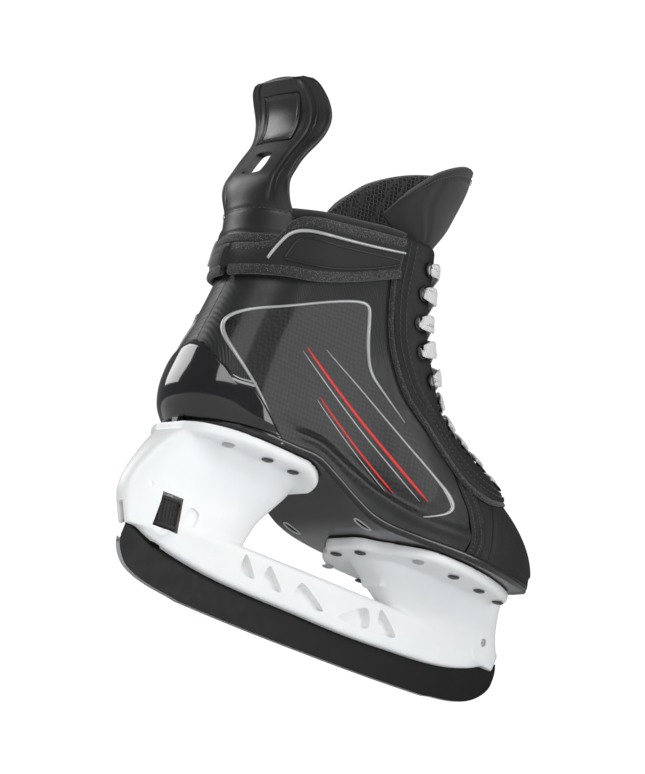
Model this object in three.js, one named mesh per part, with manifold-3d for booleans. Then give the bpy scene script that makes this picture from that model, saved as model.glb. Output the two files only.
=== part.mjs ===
// Ice hockey skate for the right foot: a moulded boot with a tendon guard and a folding tongue, on a
// plastic holder whose runner is drawn up and let down by a thumb wheel.
// Millimetres. +X toe, +Y inner side of the foot, +Z up; z = 0 is the ice under the runner's flat.
import * as THREE from 'three';
import { mergeVertices } from 'three/addons/utils/BufferGeometryUtils.js';
import Module from 'manifold-3d';

const wasm = await Module();
wasm.setup();

// ---- Overall sizes
const LENGTH = 292; // rear of the holder to the front of the runner
const WIDTH = 94; // across the ball of the foot
const HEIGHT = 291; // ice to the top of the tendon guard

// ---- Walls, layers and clearances
const GAP = 0.35; // between pieces that touch
const SOLE_THICK = 2.5;
const FOOTBED_THICK = 4;
const SHELL_WALL = 3.4;
const LINER_THICK = 4.8;
const SKIN_GAP = 1.1; // between the shell and a layer worn over it
const SEAM_GAP = 1.3; // under the shell's lower edge, where it is bonded to the sole
const COUNTER_THICK = 1.2;
const VAMP_WALL = 3;
const EYESTAY_THICK = 2.4;
const ROOT_THICK = 2;
const CUFF_THICK = 2.2;
const HEEL_ROUND = 34; // plan radius of the heel
const TOE_START = 85; // where the toe box starts to round in
const TOE_TIP = 148;

// ---- Runner
const RUNNER_THICK = 3;
const FLAT_HALF = 12; // half length of the flat it stands on
const ROCKER = 2500; // radius of its lower edge
const RUNNER_TUCK = 7; // how far it reaches up inside the holder
const SLOT_GAP = 0.35;
const LUG_HALF = 9; // half length of the front hook lug
const LUG_RISE = 5.5; // from the catch pin's axis to the lug's top

// ---- Holder
const RAIL_HALF = 6; // half width at the lower edge
const BRIDGE_HALF = 9;
const BRIDGE_TOP = 40;
const FLANGE_THICK = 6.5;
const HEEL_TOWER_HALF = 17;
const TOE_TOWER_HALF = 24;

// ---- Fasteners and moving hardware
const CATCH_PIN = { x: 128, z: 40, radius: 2 };
const PIN_GAP = 0.5;
const WHEEL = { x: -115, bottom: 33.4, height: 15.6, radius: 10.6 };
const WHEEL_GAP = 0.8;
const STUD_RADIUS = 3;
const STUD_GAP = 1;
const WASHER_THICK = 0.9;
const RIVET = { head: 3.2, rise: 1, stem: 1.6, gap: 0.3, sides: 8 };
const EYELET = { flange: 3.9, thick: 0.8, barrel: 2.7, bore: 2.1, gap: 0.35, sides: 8, from_edge: 7 };
const EYELETS_PER_SIDE = 10;
const FIRST_EYELET = 13; // along the facing from its top
const LAST_EYELET = 8; // along the facing from its foot
const LACE_WIDTH = 7;
const LACE_THICK = 1.2;

// ---- Tongue and tendon guard
const TONGUE_THICK = 6;
const TONGUE_SPLIT = 1.4; // gap where the tongue's free part starts
const GUARD_THICK = 3.6;
const GUARD_SPLIT = 1.6;
const BADGE = { half: 15, bottom: 257, top: 282, thick: 1, gap: 0.4 };
const GUARD_WINDOW = { half: 7, bottom: 235, top: 247 };

// ---- Outlines, drawn for a skate of 292 x 94 x 291 and stretched to the sizes above
const KX = LENGTH / 292;
const KY = WIDTH / 94;
const KZ = HEIGHT / 291;
const SIDES = { lateral: -1, medial: 1 };

const clamp = (v, low, high) => Math.min(Math.max(v, low), high);
const lerp = (a, b, t) => a + (b - a) * t;
const steps = count => Array.from({ length: count + 1 }, (_, i) => i / count);

// A smooth function through [key, value] rows; it stays level past both ends.
function spline(rows) {
  const slopes = rows.map((row, i) => {
    const before = rows[Math.max(i - 1, 0)];
    const after = rows[Math.min(i + 1, rows.length - 1)];
    return (after[1] - before[1]) / (after[0] - before[0]);
  });
  return key => {
    let i = 0;
    while (i < rows.length - 2 && key > rows[i + 1][0]) i++;
    const span = rows[i + 1][0] - rows[i][0];
    const t = clamp((key - rows[i][0]) / span, 0, 1);
    const low = rows[i][1] + span * slopes[i] * t * (1 - t) ** 2 - span * slopes[i + 1] * (1 - t) * t * t;
    return low + (rows[i + 1][1] - rows[i][1]) * t * t * (3 - 2 * t);
  };
}

// The same, with the key and the value stretched with the skate.
function outline(keyScale, valueScale, rows) {
  const curve = spline(rows);
  return key => valueScale * curve(key / keyScale);
}

// A side-view route through [x, z] points, read from 0 to 1.
function route(points) {
  const x = spline(points.map((point, i) => [i, KX * point[0]]));
  const z = spline(points.map((point, i) => [i, KZ * point[1]]));
  return t => [x(t * (points.length - 1)), z(t * (points.length - 1))];
}

const soleAt = outline(KX, KZ, [
  [-120, 90], [-60, 90], [-43, 89.6], [-30, 84.5], [-15, 77], [0, 70.5], [18, 68], [60, 67.3], [105, 66.8],
  [130, 68.5], [148, 73],
]);
const backAt = outline(KZ, KX, [
  [88, -109], [93, -112.5], [98, -115.5], [105, -118], [113, -118.5], [123, -116.5], [140, -111.5],
  [161, -104], [180, -98.5], [200, -97], [215, -98], [232, -99],
]);
const ridgeAt = outline(KX, KZ, [
  [-20, 600], [0, 420], [10, 300], [22, 215], [30, 177], [42, 153], [60, 138], [80, 128], [100, 118.5],
  [115, 111], [132, 100], [148, 86],
]);
const collarAt = outline(KX, KZ, [[-103, 212], [-78, 217], [-60, 221], [-37, 225], [-18, 228], [14, 229]]);
const bandAt = outline(KX, KZ, [[-102, 177], [-86, 179], [-70, 182], [-46, 189], [-12, 203.5]]);
const counterAt = outline(KX, KZ, [[-113, 135], [-111, 125], [-106, 116], [-95, 114]]);
const WIDTHS = {
  lateral: outline(KX, KY, [
    [-120, 32.5], [-50, 32.5], [-20, 34.5], [10, 40], [35, 45.5], [60, 49.5], [80, 50], [100, 47], [148, 40],
  ]),
  medial: outline(KX, KY, [
    [-120, 32.5], [-50, 32], [-20, 33], [10, 37.5], [35, 41.5], [60, 44], [80, 44.5], [100, 43], [148, 40],
  ]),
};
const waistAt = outline(KZ, 1, [
  [66, 0.96], [82, 1], [122, 1], [150, 0.95], [180, 0.925], [212, 0.94], [232, 0.96],
]);
const RIM = SOLE_THICK + SEAM_GAP; // the upper starts this far above the underside of the sole
const ARCH = 2.6; // how flat the section's crown is
const SIDE = 2.2; // how upright its sides are
const TOE_ARCH = 2.5; // how full the toe is in plan

const FACING = route([
  [13, 227], [13.4, 212], [12.5, 196], [14, 181], [19, 168], [27, 157.5], [38, 148.5], [51, 137.5],
  [67, 130.5], [82, 124.5], [97, 118.6],
]);
const FACING_SEAM = route([
  [-12, 226], [-12, 211], [-12, 196], [-8.5, 174], [-3, 159], [7.4, 142.5], [22.5, 130.6], [42, 117],
  [57.4, 107], [76, 104], [98, 109],
]);
const QUARTER_FRONT = route([
  [60, 71], [61.5, 79], [57.5, 92], [49.5, 105], [41, 121], [27, 134], [13, 147], [3, 161], [-2, 176],
  [-5, 198], [-6, 226],
]);

// Half width of the boot's outer surface at a point of the side view, inset evenly by a layer's depth.
function halfWidth(x, z, side, inset) {
  const floor = soleAt(x);
  const up = clamp((z - floor) / (ridgeAt(x) - floor - inset), 0, 1);
  const heel = clamp((x - backAt(z) - inset) / (HEEL_ROUND - inset), 0, 1);
  const toe = clamp((x - TOE_START * KX) / (TOE_TIP * KX - inset - TOE_START * KX), 0, 1);
  const wide = WIDTHS[side](x) * waistAt(z) - inset;
  const section = (1 - up ** ARCH) ** (1 / SIDE);
  return wide * section * Math.sqrt(1 - (1 - heel) ** 2) * (1 - toe ** TOE_ARCH) ** (1 / SIDE);
}

function skin(x, z, side, inset) {
  return new THREE.Vector3(x, SIDES[side] * halfWidth(x, z, side, inset), z);
}

function skinNormal(x, z, side) {
  const step = 0.5;
  const alongX = (halfWidth(x + step, z, side, 0) - halfWidth(x - step, z, side, 0)) / (2 * step);
  const alongZ = (halfWidth(x, z + step, side, 0) - halfWidth(x, z - step, side, 0)) / (2 * step);
  return new THREE.Vector3(-alongX, SIDES[side], -alongZ).normalize();
}

// ---- Solids

// A closed geometry from triangles of points, facing out.
function closed(triangles) {
  const raw = new THREE.BufferGeometry().setFromPoints(triangles.flat());
  const merged = mergeVertices(raw, 1e-3);
  const { index, attributes } = merged;
  const faces = [];
  for (let i = 0; i < index.count; i += 3) {
    const [a, b, c] = [index.getX(i), index.getX(i + 1), index.getX(i + 2)];
    if (a !== b && b !== c && c !== a) faces.push([a, b, c]);
  }
  const point = i => new THREE.Vector3().fromBufferAttribute(attributes.position, i);
  const volume = faces.reduce((sum, [a, b, c]) => sum + point(a).dot(point(b).cross(point(c))), 0);
  merged.setIndex(faces.flatMap(([a, b, c]) => (volume < 0 ? [a, c, b] : [a, b, c])));
  return merged;
}

const quad = (a, b, c, d) => [[a, b, c], [a, c, d]];

// A wall between two grids of points that have the same rows and columns.
function wall(outer, inner) {
  const rows = outer.length - 1;
  const last = outer[0].length - 1;
  const triangles = [];
  for (let i = 0; i < rows; i++) {
    for (let j = 0; j < last; j++) {
      triangles.push(...quad(outer[i][j], outer[i][j + 1], outer[i + 1][j + 1], outer[i + 1][j]));
      triangles.push(...quad(inner[i][j], inner[i + 1][j], inner[i + 1][j + 1], inner[i][j + 1]));
    }
    triangles.push(...quad(outer[i][0], outer[i + 1][0], inner[i + 1][0], inner[i][0]));
    triangles.push(...quad(outer[i][last], inner[i][last], inner[i + 1][last], outer[i + 1][last]));
  }
  for (let j = 0; j < last; j++) {
    triangles.push(...quad(outer[0][j], inner[0][j], inner[0][j + 1], outer[0][j + 1]));
    triangles.push(...quad(outer[rows][j], outer[rows][j + 1], inner[rows][j + 1], inner[rows][j]));
  }
  return closed(triangles);
}

// A solid through a row of loops that have the same number of points, with flat ends.
function loft(loops) {
  const triangles = [];
  const count = loops[0].length;
  for (let i = 0; i < loops.length - 1; i++) {
    for (let j = 0; j < count; j++) {
      const k = (j + 1) % count;
      triangles.push(...quad(loops[i][j], loops[i][k], loops[i + 1][k], loops[i + 1][j]));
    }
  }
  for (let j = 1; j < count - 1; j++) {
    const [first, last] = [loops[0], loops[loops.length - 1]];
    triangles.push([first[0], first[j + 1], first[j]], [last[0], last[j], last[j + 1]]);
  }
  return closed(triangles);
}

function toManifold(geometry) {
  const bare = geometry.clone();
  bare.deleteAttribute('normal');
  bare.deleteAttribute('uv');
  const merged = mergeVertices(bare, 1e-4);
  return new wasm.Manifold(new wasm.Mesh({
    numProp: 3,
    vertProperties: merged.attributes.position.array,
    triVerts: new Uint32Array(merged.index.array),
  }));
}

function toGeometry(manifold) {
  const mesh = manifold.getMesh();
  const geometry = new THREE.BufferGeometry();
  geometry.setAttribute('position', new THREE.BufferAttribute(mesh.vertProperties, 3));
  geometry.setIndex(new THREE.BufferAttribute(mesh.triVerts, 1));
  return geometry;
}

const joined = geometries => toGeometry(geometries.map(toManifold).reduce((a, b) => a.add(b)));
const without = (geometry, cutters) =>
  toGeometry(cutters.map(toManifold).reduce((a, b) => a.subtract(b), toManifold(geometry)));

// A flat plate of a side-view outline, centred on y = 0.
function sidePlate(points, thickness) {
  const shape = new THREE.Shape(points.map(([x, z]) => new THREE.Vector2(x, z)));
  const geometry = new THREE.ExtrudeGeometry(shape, { depth: thickness, bevelEnabled: false });
  return geometry.translate(0, 0, -thickness / 2).rotateX(Math.PI / 2);
}

function box(x, y, z) {
  const geometry = new THREE.BoxGeometry(x[1] - x[0], y[1] - y[0], z[1] - z[0]);
  return geometry.translate((x[0] + x[1]) / 2, (y[0] + y[1]) / 2, (z[0] + z[1]) / 2);
}

// A cylinder along Z, or along Y when it lies across the skate.
function post(x, y, z, radius, sides) {
  const geometry = new THREE.CylinderGeometry(radius, radius, z[1] - z[0], sides).rotateX(Math.PI / 2);
  return geometry.translate(x, y, (z[0] + z[1]) / 2);
}

function crossPin(x, z, radius, half, sides) {
  return new THREE.CylinderGeometry(radius, radius, 2 * half, sides).translate(x, 0, z);
}

function lathe(profile, sides) {
  return new THREE.LatheGeometry(profile.map(([r, h]) => new THREE.Vector2(r, h)), sides);
}

// ---- Materials
function finish(color, roughness, metalness) {
  return new THREE.MeshStandardMaterial({ color, roughness, metalness });
}

const MATERIALS = {
  steel: finish(0x1b1b1c, 0.38, 0.9),
  white: finish(0xf2f3f4, 0.42, 0),
  wheel: finish(0x2a2a2b, 0.55, 0),
  pin: finish(0xb9bbbd, 0.3, 1),
  rivet: finish(0x3a3b3c, 0.35, 0.9),
  composite: finish(0x161617, 0.3, 0),
  shell: finish(0x2b2c2d, 0.4, 0),
  gloss: finish(0x0c0c0d, 0.12, 0),
  textile: finish(0x343536, 0.85, 0),
  rubber: finish(0x232425, 0.6, 0),
  liner: finish(0x3b3c3e, 0.95, 0),
  lace: finish(0xe9e9e7, 0.9, 0),
};

const skate = new THREE.Group();
function add(name, geometry, material, place) {
  const mesh = new THREE.Mesh(geometry, MATERIALS[material]);
  mesh.name = name;
  if (place) place(mesh);
  skate.add(mesh);
  return mesh;
}

// ---- Upper

// How far along a layer a column lies: close together round the heel, even after it.
function alongLayer(s) {
  const turn = 0.36;
  const rate = 1 / (2 * turn - turn * turn);
  return s < turn ? rate * s * s : rate * (turn * turn + 2 * turn * (s - turn));
}

// A four-sided patch of the side view, from the back of the heel (s = 0) to its front edge (s = 1).
function patch(low, high, front, inset) {
  const [frontLow, frontHigh] = [front(0), front(1)];
  const lowZ = low(backAt(low(-110 * KX)));
  const highZ = high(backAt(high(-100 * KX)));
  const rear = t => {
    const z = lerp(lowZ, highZ, t);
    return [backAt(z) + inset, z];
  };
  const edge = (curve, start, end, s) => {
    const x = lerp(start[0], end[0], alongLayer(s));
    return [x, curve(x) + lerp(start[1] - curve(start[0]), end[1] - curve(end[0]), s)];
  };
  return (s, t) => {
    const [r, f] = [rear(t), front(t)];
    const [b, h] = [edge(low, rear(0), frontLow, s), edge(high, rear(1), frontHigh, s)];
    const k = alongLayer(s);
    return [0, 1].map(i => {
      const rearCorners = lerp(rear(0)[i], rear(1)[i], t);
      const frontCorners = lerp(frontLow[i], frontHigh[i], t);
      return lerp(b[i], h[i], t) + lerp(r[i] - rearCorners, f[i] - frontCorners, k);
    });
  };
}

// Points of a layer on one side, or on both where the layer goes round the heel.
function layerGrid(low, high, front, inset, sides, rows, columns, part) {
  const place = patch(low, high, front, inset);
  const half = (side, t) => steps(columns).map(s => {
    const [x, z] = place(s, t);
    const point = skin(x, z, side, inset);
    point.y += SIDES[side] * part;
    return point;
  });
  const heights = steps(rows).map(t => t ** 1.35); // closer together where the wall turns under the foot
  return heights.map(t => (sides === 'both'
    ? [...half('lateral', t).reverse(), ...half('medial', t).slice(1)]
    : half(sides, t)));
}

function layer(low, high, front, depth, thick, sides, rows, columns, part = 0) {
  return wall(
    layerGrid(low, high, front, depth, sides, rows, columns, part),
    layerGrid(low, high, front, depth + thick, sides, rows, columns, part),
  );
}

const upperFoot = x => soleAt(x) + RIM;
const shellTop = x => collarAt(x) - 2;

function quarter(side) {
  const front = t => {
    const [x, z] = QUARTER_FRONT(t);
    return [x, Math.max(z, upperFoot(x))];
  };
  return layer(upperFoot, shellTop, front, 0, SHELL_WALL, side, 10, 13, GAP / 2);
}

function liner() {
  const foot = x => soleAt(x) + RIM + FOOTBED_THICK + SEAM_GAP;
  const front = t => {
    const [x, z] = QUARTER_FRONT(0.06 + 0.94 * t);
    return [x - 3, Math.max(z, foot(x - 3))];
  };
  return layer(foot, shellTop, front, SHELL_WALL + SKIN_GAP, LINER_THICK, 'both', 7, 12);
}

function counter() {
  const [footX, topX] = [-71 * KX, -95 * KX];
  const front = t => [lerp(footX, topX, t), lerp(upperFoot(footX), counterAt(topX), t)];
  return layer(upperFoot, counterAt, front, -SKIN_GAP - COUNTER_THICK, COUNTER_THICK, 'both', 5, 8);
}

function cuff() {
  const edge = -12.6 * KX; // just behind the facing's seam
  const front = t => [edge, lerp(bandAt(edge), collarAt(edge), t)];
  const depth = 2 * SKIN_GAP + ROOT_THICK;
  return layer(bandAt, collarAt, front, -depth - CUFF_THICK, CUFF_THICK, 'both', 3, 11);
}

const GUARD_BACK = outline(KZ, KX, [
  [176, -99], [200, -97], [214, -97.5], [229, -96.5], [240, -91], [250, -86], [262, -81], [272, -80.5],
  [282, -83.5], [291, -88.5],
]);
const ROOT_TOP = 213 * KZ;
const ROOT_REACH = 15; // forward reach of the guard's root round each side

function guardRoot() {
  const low = () => 182 * KZ;
  const high = () => ROOT_TOP;
  const front = t => {
    const z = lerp(low(), high(), t);
    return [backAt(z) + ROOT_REACH, z];
  };
  return layer(low, high, front, -SKIN_GAP - ROOT_THICK, ROOT_THICK, 'both', 3, 6);
}

// A facing point: t runs down it, s crosses it from the seam to the lacing edge.
function facingPoint(t, s) {
  const [seam, edge] = [FACING_SEAM(t), FACING(t)];
  return [lerp(seam[0], edge[0], s), lerp(seam[1], edge[1], s)];
}

// Length down the lacing edge, at even shares of its route.
const FACING_RUN = steps(400).reduce((runs, t, i) => {
  const [here, last] = [FACING(t), FACING(Math.max(t - 1 / 400, 0))];
  return [...runs, i ? runs[i - 1] + Math.hypot(here[0] - last[0], here[1] - last[1]) : 0];
}, []);

// The point on the facing at a distance down its lacing edge and in from it.
function onFacing(distance, inward) {
  const t = FACING_RUN.findIndex(run => run >= distance) / (FACING_RUN.length - 1);
  const last = FACING(t);
  const seam = FACING_SEAM(t);
  const reach = Math.hypot(seam[0] - last[0], seam[1] - last[1]);
  return facingPoint(t, 1 - inward / reach);
}

// How far down the lacing edge an eyelet lies.
function eyeletRun(i) {
  return lerp(FIRST_EYELET, FACING_RUN[FACING_RUN.length - 1] - LAST_EYELET, i / (EYELETS_PER_SIDE - 1));
}

const eyeletSpot = i => onFacing(eyeletRun(i), EYELET.from_edge);

// Turns and moves a lathed piece onto the boot's surface, its axis along the surface's normal.
function seat(mesh, [x, z], side, lift) {
  const normal = skinNormal(x, z, side);
  mesh.quaternion.setFromUnitVectors(new THREE.Vector3(0, 1, 0), normal);
  mesh.position.copy(skin(x, z, side, 0)).addScaledVector(normal, lift);
}

function eyestay(side) {
  const grid = inset => steps(14).map(t => steps(3).map(s => {
    const [x, z] = facingPoint(t, s);
    return skin(x, z, side, inset);
  }));
  const strip = wall(grid(-SKIN_GAP - EYESTAY_THICK), grid(-SKIN_GAP));
  const holes = steps(EYELETS_PER_SIDE - 1).map((_, i) => {
    const radius = EYELET.barrel + EYELET.gap;
    const hole = new THREE.Mesh(new THREE.CylinderGeometry(radius, radius, 14, EYELET.sides));
    seat(hole, eyeletSpot(i), side, 0);
    hole.updateMatrix();
    return hole.geometry.applyMatrix4(hole.matrix);
  });
  return without(strip, holes);
}

function eyeletRing() {
  const depth = EYESTAY_THICK + 0.8;
  const profile = [
    [EYELET.bore, -depth], [EYELET.barrel, -depth], [EYELET.barrel, 0], [EYELET.flange, 0],
    [EYELET.flange, EYELET.thick], [EYELET.bore, EYELET.thick], [EYELET.bore, -depth],
  ];
  return lathe(profile, EYELET.sides);
}

const VAMP_END = 87.6;
const VAMP_TUCK = 7; // how far its upper edge lies under the facing

// Height of the lacing edge over a point of the vamp.
function facingEdgeAt(x) {
  let t = 0.5;
  while (FACING(t)[0] < x && t < 1) t += 0.002;
  return FACING(t)[1];
}

function vamp(side) {
  const front = VAMP_END * KX;
  const frontTop = facingEdgeAt(front) - VAMP_TUCK;
  const grid = inset => steps(5).map(s => steps(7).map(t => {
    const seam = QUARTER_FRONT(0.4 * t);
    const x = lerp(seam[0] + SEAM_GAP, front, s);
    const rise = lerp(seam[1], lerp(soleAt(front) + RIM, frontTop, t), s);
    return skin(x, Math.max(rise, soleAt(x) + RIM), side, inset);
  }));
  return wall(grid(0), grid(VAMP_WALL));
}

function toeCap() {
  const start = (VAMP_END + 0.4) * KX;
  const grid = inset => steps(10).map(s => {
    const tip = TOE_TIP * KX - inset;
    const x = start + (tip - start) * Math.sin(s * Math.PI / 2);
    return steps(18).map(c => {
      const angle = (c - 0.5) * Math.PI;
      const floor = soleAt(x);
      const high = floor + (ridgeAt(x) - floor - inset) * Math.max(Math.cos(angle), 0) ** (2 / ARCH);
      return skin(x, Math.max(high, floor + RIM), c < 0.5 ? 'lateral' : 'medial', inset);
    });
  });
  const throat = new THREE.Shape()
    .moveTo(70 * KX, -17 * KY)
    .lineTo(94 * KX, -15 * KY)
    .quadraticCurveTo(102 * KX, -12 * KY, 102.5 * KX, 0)
    .quadraticCurveTo(102 * KX, 12 * KY, 94 * KX, 15 * KY)
    .lineTo(70 * KX, 17 * KY);
  const notch = new THREE.ExtrudeGeometry(throat, { depth: 60 * KZ, bevelEnabled: false, curveSegments: 4 });
  return without(wall(grid(0), grid(VAMP_WALL)), [notch.translate(0, 0, 85 * KZ)]);
}

// Places along the sole where everything that lies against it has a section, so that it lies evenly.
const SOLE_STATIONS = [
  -116, -110, -100, -86, -60, -50, -43, -37, -30, -22, -15, -7, 0, 8, 17, 24, 31, 42, 60, 80, 100, 112, 122,
  130, 137, 143,
].map(x => x * KX);

function sectionsBetween(start, end) {
  return [start, ...SOLE_STATIONS.filter(x => x > start + 1 && x < end - 1), end];
}

// A flat layer under the foot, its outline following the boot's surface at an even inset.
function footPlank(bottom, thick, inset) {
  const start = backAt(90 * KZ + bottom) + inset + 0.8;
  const end = TOE_TIP * KX - inset - 0.6;
  return loft(sectionsBetween(start, end).map(x => {
    const z = soleAt(x) + bottom;
    const wide = side => Math.max(halfWidth(x, z, side, inset), 2);
    return [
      new THREE.Vector3(x, -wide('lateral'), z),
      new THREE.Vector3(x, wide('medial'), z),
      new THREE.Vector3(x, wide('medial'), z + thick),
      new THREE.Vector3(x, -wide('lateral'), z + thick),
    ];
  }));
}

// ---- Tongue

const TONGUE_LINE = route([
  [94, 113], [80, 122.5], [66, 130], [52, 138.5], [41, 149], [32, 160], [26, 174], [24, 190],
  [24.5, 206], [25, 222],
]);
const TONGUE_FRONT = outline(KZ, KX, [[222, 25.5], [235, 33.5], [250, 44], [265, 51], [280, 56], [291, 58]]);
const TONGUE_TOP = outline(KX, KZ, [
  [-32, 231], [-19, 241], [-8, 254], [2, 264], [12, 273], [33, 285], [50, 290], [58, 289],
]);

const TONGUE_HALF = spline([[0, 17 * KY], [0.3, 24 * KY], [0.6, 27 * KY], [1, 24 * KY]]);
const TONGUE_DEPTH = spline([[0, 7], [0.3, 12], [0.6, 20], [1, 26]]);
const TONGUE_FOOT = 222; // where the free part starts
const TONGUE_WRAP = 56; // how far the free part reaches back round the shin

// A point of the laced part of the tongue: t runs up it, the angle turns round it from its middle.
function tonguePoint(t, angle, inset) {
  const [x, z] = TONGUE_LINE(t);
  const ahead = TONGUE_LINE(Math.min(t + 0.01, 1));
  const behind = TONGUE_LINE(Math.max(t - 0.01, 0));
  const run = Math.hypot(ahead[0] - behind[0], ahead[1] - behind[1]);
  const back = (TONGUE_DEPTH(t) - inset / 2) * (1 - Math.cos(angle)) + inset;
  return new THREE.Vector3(
    x - (ahead[1] - behind[1]) / run * back,
    (TONGUE_HALF(t) - 0.8 * inset) * Math.sin(angle),
    z + (ahead[0] - behind[0]) / run * back,
  );
}

function tongueLower() {
  const grid = inset => steps(11).map(t => steps(8).map(c => tonguePoint(t, (c - 0.5) * Math.PI, inset)));
  return wall(grid(0), grid(TONGUE_THICK));
}

function tongueUpper() {
  const halfAt = outline(KZ, KY, [[222, 24.5], [232, 26.5], [250, 29.5], [291, 30]]);
  const wrap = TONGUE_WRAP * KX;
  const grid = inset => steps(9).map(t => steps(12).map(c => {
    const angle = (c - 0.5) * Math.PI;
    const back = (wrap - inset) * (1 - Math.cos(angle)) + inset;
    let top = 270 * KZ;
    for (let n = 0; n < 20; n++) top = lerp(top, TONGUE_TOP(TONGUE_FRONT(top) - back), 0.5);
    const foot = TONGUE_FOOT * KZ + TONGUE_SPLIT + 6 * KZ * (1 - Math.cos(angle));
    const z = lerp(foot, top, t);
    return new THREE.Vector3(TONGUE_FRONT(z) - back, (halfAt(z) - inset) * Math.sin(angle), z);
  }));
  return wall(grid(0), grid(TONGUE_THICK));
}

// ---- Tendon guard

const GUARD_HALF = outline(KZ, KY, [
  [213, 25], [232, 25.5], [245, 25], [258, 27], [270, 28.5], [280, 27.5], [287, 24], [291, 17],
]);
const GUARD_WRAP = outline(KZ, KX, [[213, 14], [229, 7], [245, 5], [262, 8], [275, 8], [291, 1]]);

function guardPoint(z, c, lift) {
  const arc = 0.9; // share of a quarter round that the guard's section turns through
  const bow = (1 - Math.sqrt(1 - (arc * c) ** 2)) / (1 - Math.sqrt(1 - arc ** 2));
  return new THREE.Vector3(GUARD_BACK(z) - lift + GUARD_WRAP(z) * bow, GUARD_HALF(z) * c, z);
}

function guard() {
  const bottom = ROOT_TOP + GUARD_SPLIT;
  const lift = SKIN_GAP + ROOT_THICK;
  const grid = depth => steps(14).map(t => steps(10).map(c => (
    guardPoint(lerp(bottom, HEIGHT, t), 2 * c - 1, lift - depth)
  )));
  const { half, bottom: low, top } = GUARD_WINDOW;
  const window = box([-130 * KX, -60 * KX], [-half, half], [low * KZ, top * KZ]);
  return without(wall(grid(0), grid(GUARD_THICK)), [window]);
}

function badge() {
  const lift = SKIN_GAP + ROOT_THICK + BADGE.gap + BADGE.thick;
  const grid = depth => steps(5).map(t => steps(5).map(c => {
    const z = lerp(BADGE.bottom, BADGE.top, t) * KZ;
    return guardPoint(z, (2 * c - 1) * BADGE.half * KY / GUARD_HALF(z), lift - depth);
  }));
  return wall(grid(0), grid(BADGE.thick));
}

// ---- Lace

// A flat band along a few points, its width lying along the given direction and its wall outward.
function band(points, outward, across) {
  const half = across.clone().multiplyScalar(LACE_WIDTH / 2);
  const grid = lift => [-1, 1].map(sign => points.map((point, i) => (
    point.clone().addScaledVector(half, sign).addScaledVector(outward[i], lift)
  )));
  return wall(grid(LACE_THICK), grid(0));
}

// Where the tongue passes closest under a point of the side view.
function tongueUnder(x, z) {
  const far = steps(100).map(t => [Math.hypot(TONGUE_LINE(t)[0] - x, TONGUE_LINE(t)[1] - z), t]);
  return far.sort((a, b) => a[0] - b[0])[0][1];
}

// Crossing bands from each eyelet over the tongue to the next one down on the other side.
function lace() {
  const above = SKIN_GAP + EYESTAY_THICK + GAP + EYELET.thick + 1.4;
  const clearAt = spline([[0, 7.9], [0.3, 3.6], [1, 3.6]]); // over the tongue, more where the throat narrows
  const rows = steps(EYELETS_PER_SIDE - 1).map((_, i) => {
    const distance = eyeletRun(i);
    return { hole: onFacing(distance, EYELET.from_edge - 0.5), edge: onFacing(distance, 0.5) };
  });
  const end = (spot, side, lift) => {
    const normal = skinNormal(...spot, side);
    return [skin(...spot, side, 0).addScaledVector(normal, lift), normal];
  };
  const pieces = rows.slice(1).flatMap((next, i) => {
    const here = rows[i];
    const across = new THREE.Vector3(next.hole[0] - here.hole[0], 0, next.hole[1] - here.hole[1]).normalize();
    const out = new THREE.Vector3(-across.z, 0, across.x);
    const t = tongueUnder((here.edge[0] + next.edge[0]) / 2, (here.edge[1] + next.edge[1]) / 2);
    const over = angle => [tonguePoint(t, angle, -clearAt(t)), out];
    return ['lateral', 'medial'].map(side => {
      const other = side === 'lateral' ? 'medial' : 'lateral';
      const turn = SIDES[side] * Math.PI / 4;
      const line = [
        end(here.hole, side, above), end(here.edge, side, above + 0.6), over(turn),
        over(0), over(-turn), end(next.edge, other, above + 0.6), end(next.hole, other, above),
      ];
      return band(line.map(([point]) => point), line.map(([, way]) => way), across);
    });
  });
  return joined(pieces);
}

// ---- Runner and its hardware

const railFoot = outline(KX, KZ, [
  [-139, 32.5], [-134, 31.2], [-115, 24.8], [-87, 20.2], [-60, 18.2], [-16, 17.2], [26, 16.4], [61, 17.3],
  [97, 19.2], [122, 23.8], [147, 33.2],
]);
const RUNNER_HEEL = route([[-98, 2.2], [-112, 3.8], [-124, 6.4], [-133, 11], [-138, 19.8], [-136.5, 30.8]]);
const RUNNER_TOE = route([
  [102, 2.4], [116, 3.8], [128, 6.4], [138, 11], [146, 18], [149, 26.7], [148.6, 33],
]);
const pinX = CATCH_PIN.x * KX;
const pinZ = CATCH_PIN.z * KZ;
const studX = WHEEL.x * KX;
const wheelFoot = WHEEL.bottom * KZ;
const wheelTop = wheelFoot + WHEEL.height;

function runnerOutline() {
  const rocker = x => (Math.max(Math.abs(x) - FLAT_HALF, 0) ** 2) / (2 * ROCKER);
  const behind = [-80, -60, -40].map(x => x * KX);
  const lower = [...behind, -FLAT_HALF, FLAT_HALF, ...behind.map(x => -x).reverse()];
  const heel = steps(7).map(RUNNER_HEEL).reverse();
  const toe = steps(9).map(RUNNER_TOE);
  const upper = steps(14).map(s => {
    const x = lerp(143, -133, s) * KX;
    return [x, railFoot(x) + Math.min(RUNNER_TUCK, wheelFoot - 3 * GAP - railFoot(x))];
  });
  return [...heel, ...lower.map(x => [x, rocker(x)]), ...toe, ...upper];
}

// The hook lug round the catch pin, open towards the toe.
function hookLug(grow) {
  const foot = railFoot(pinX) + RUNNER_TUCK / 2;
  const [rear, front] = [pinX - LUG_HALF - grow, pinX + LUG_HALF / 2 + grow];
  const half = RUNNER_THICK / 2 + grow;
  return box([rear, front], [-half, half], [foot, pinZ + LUG_RISE + grow]);
}

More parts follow.
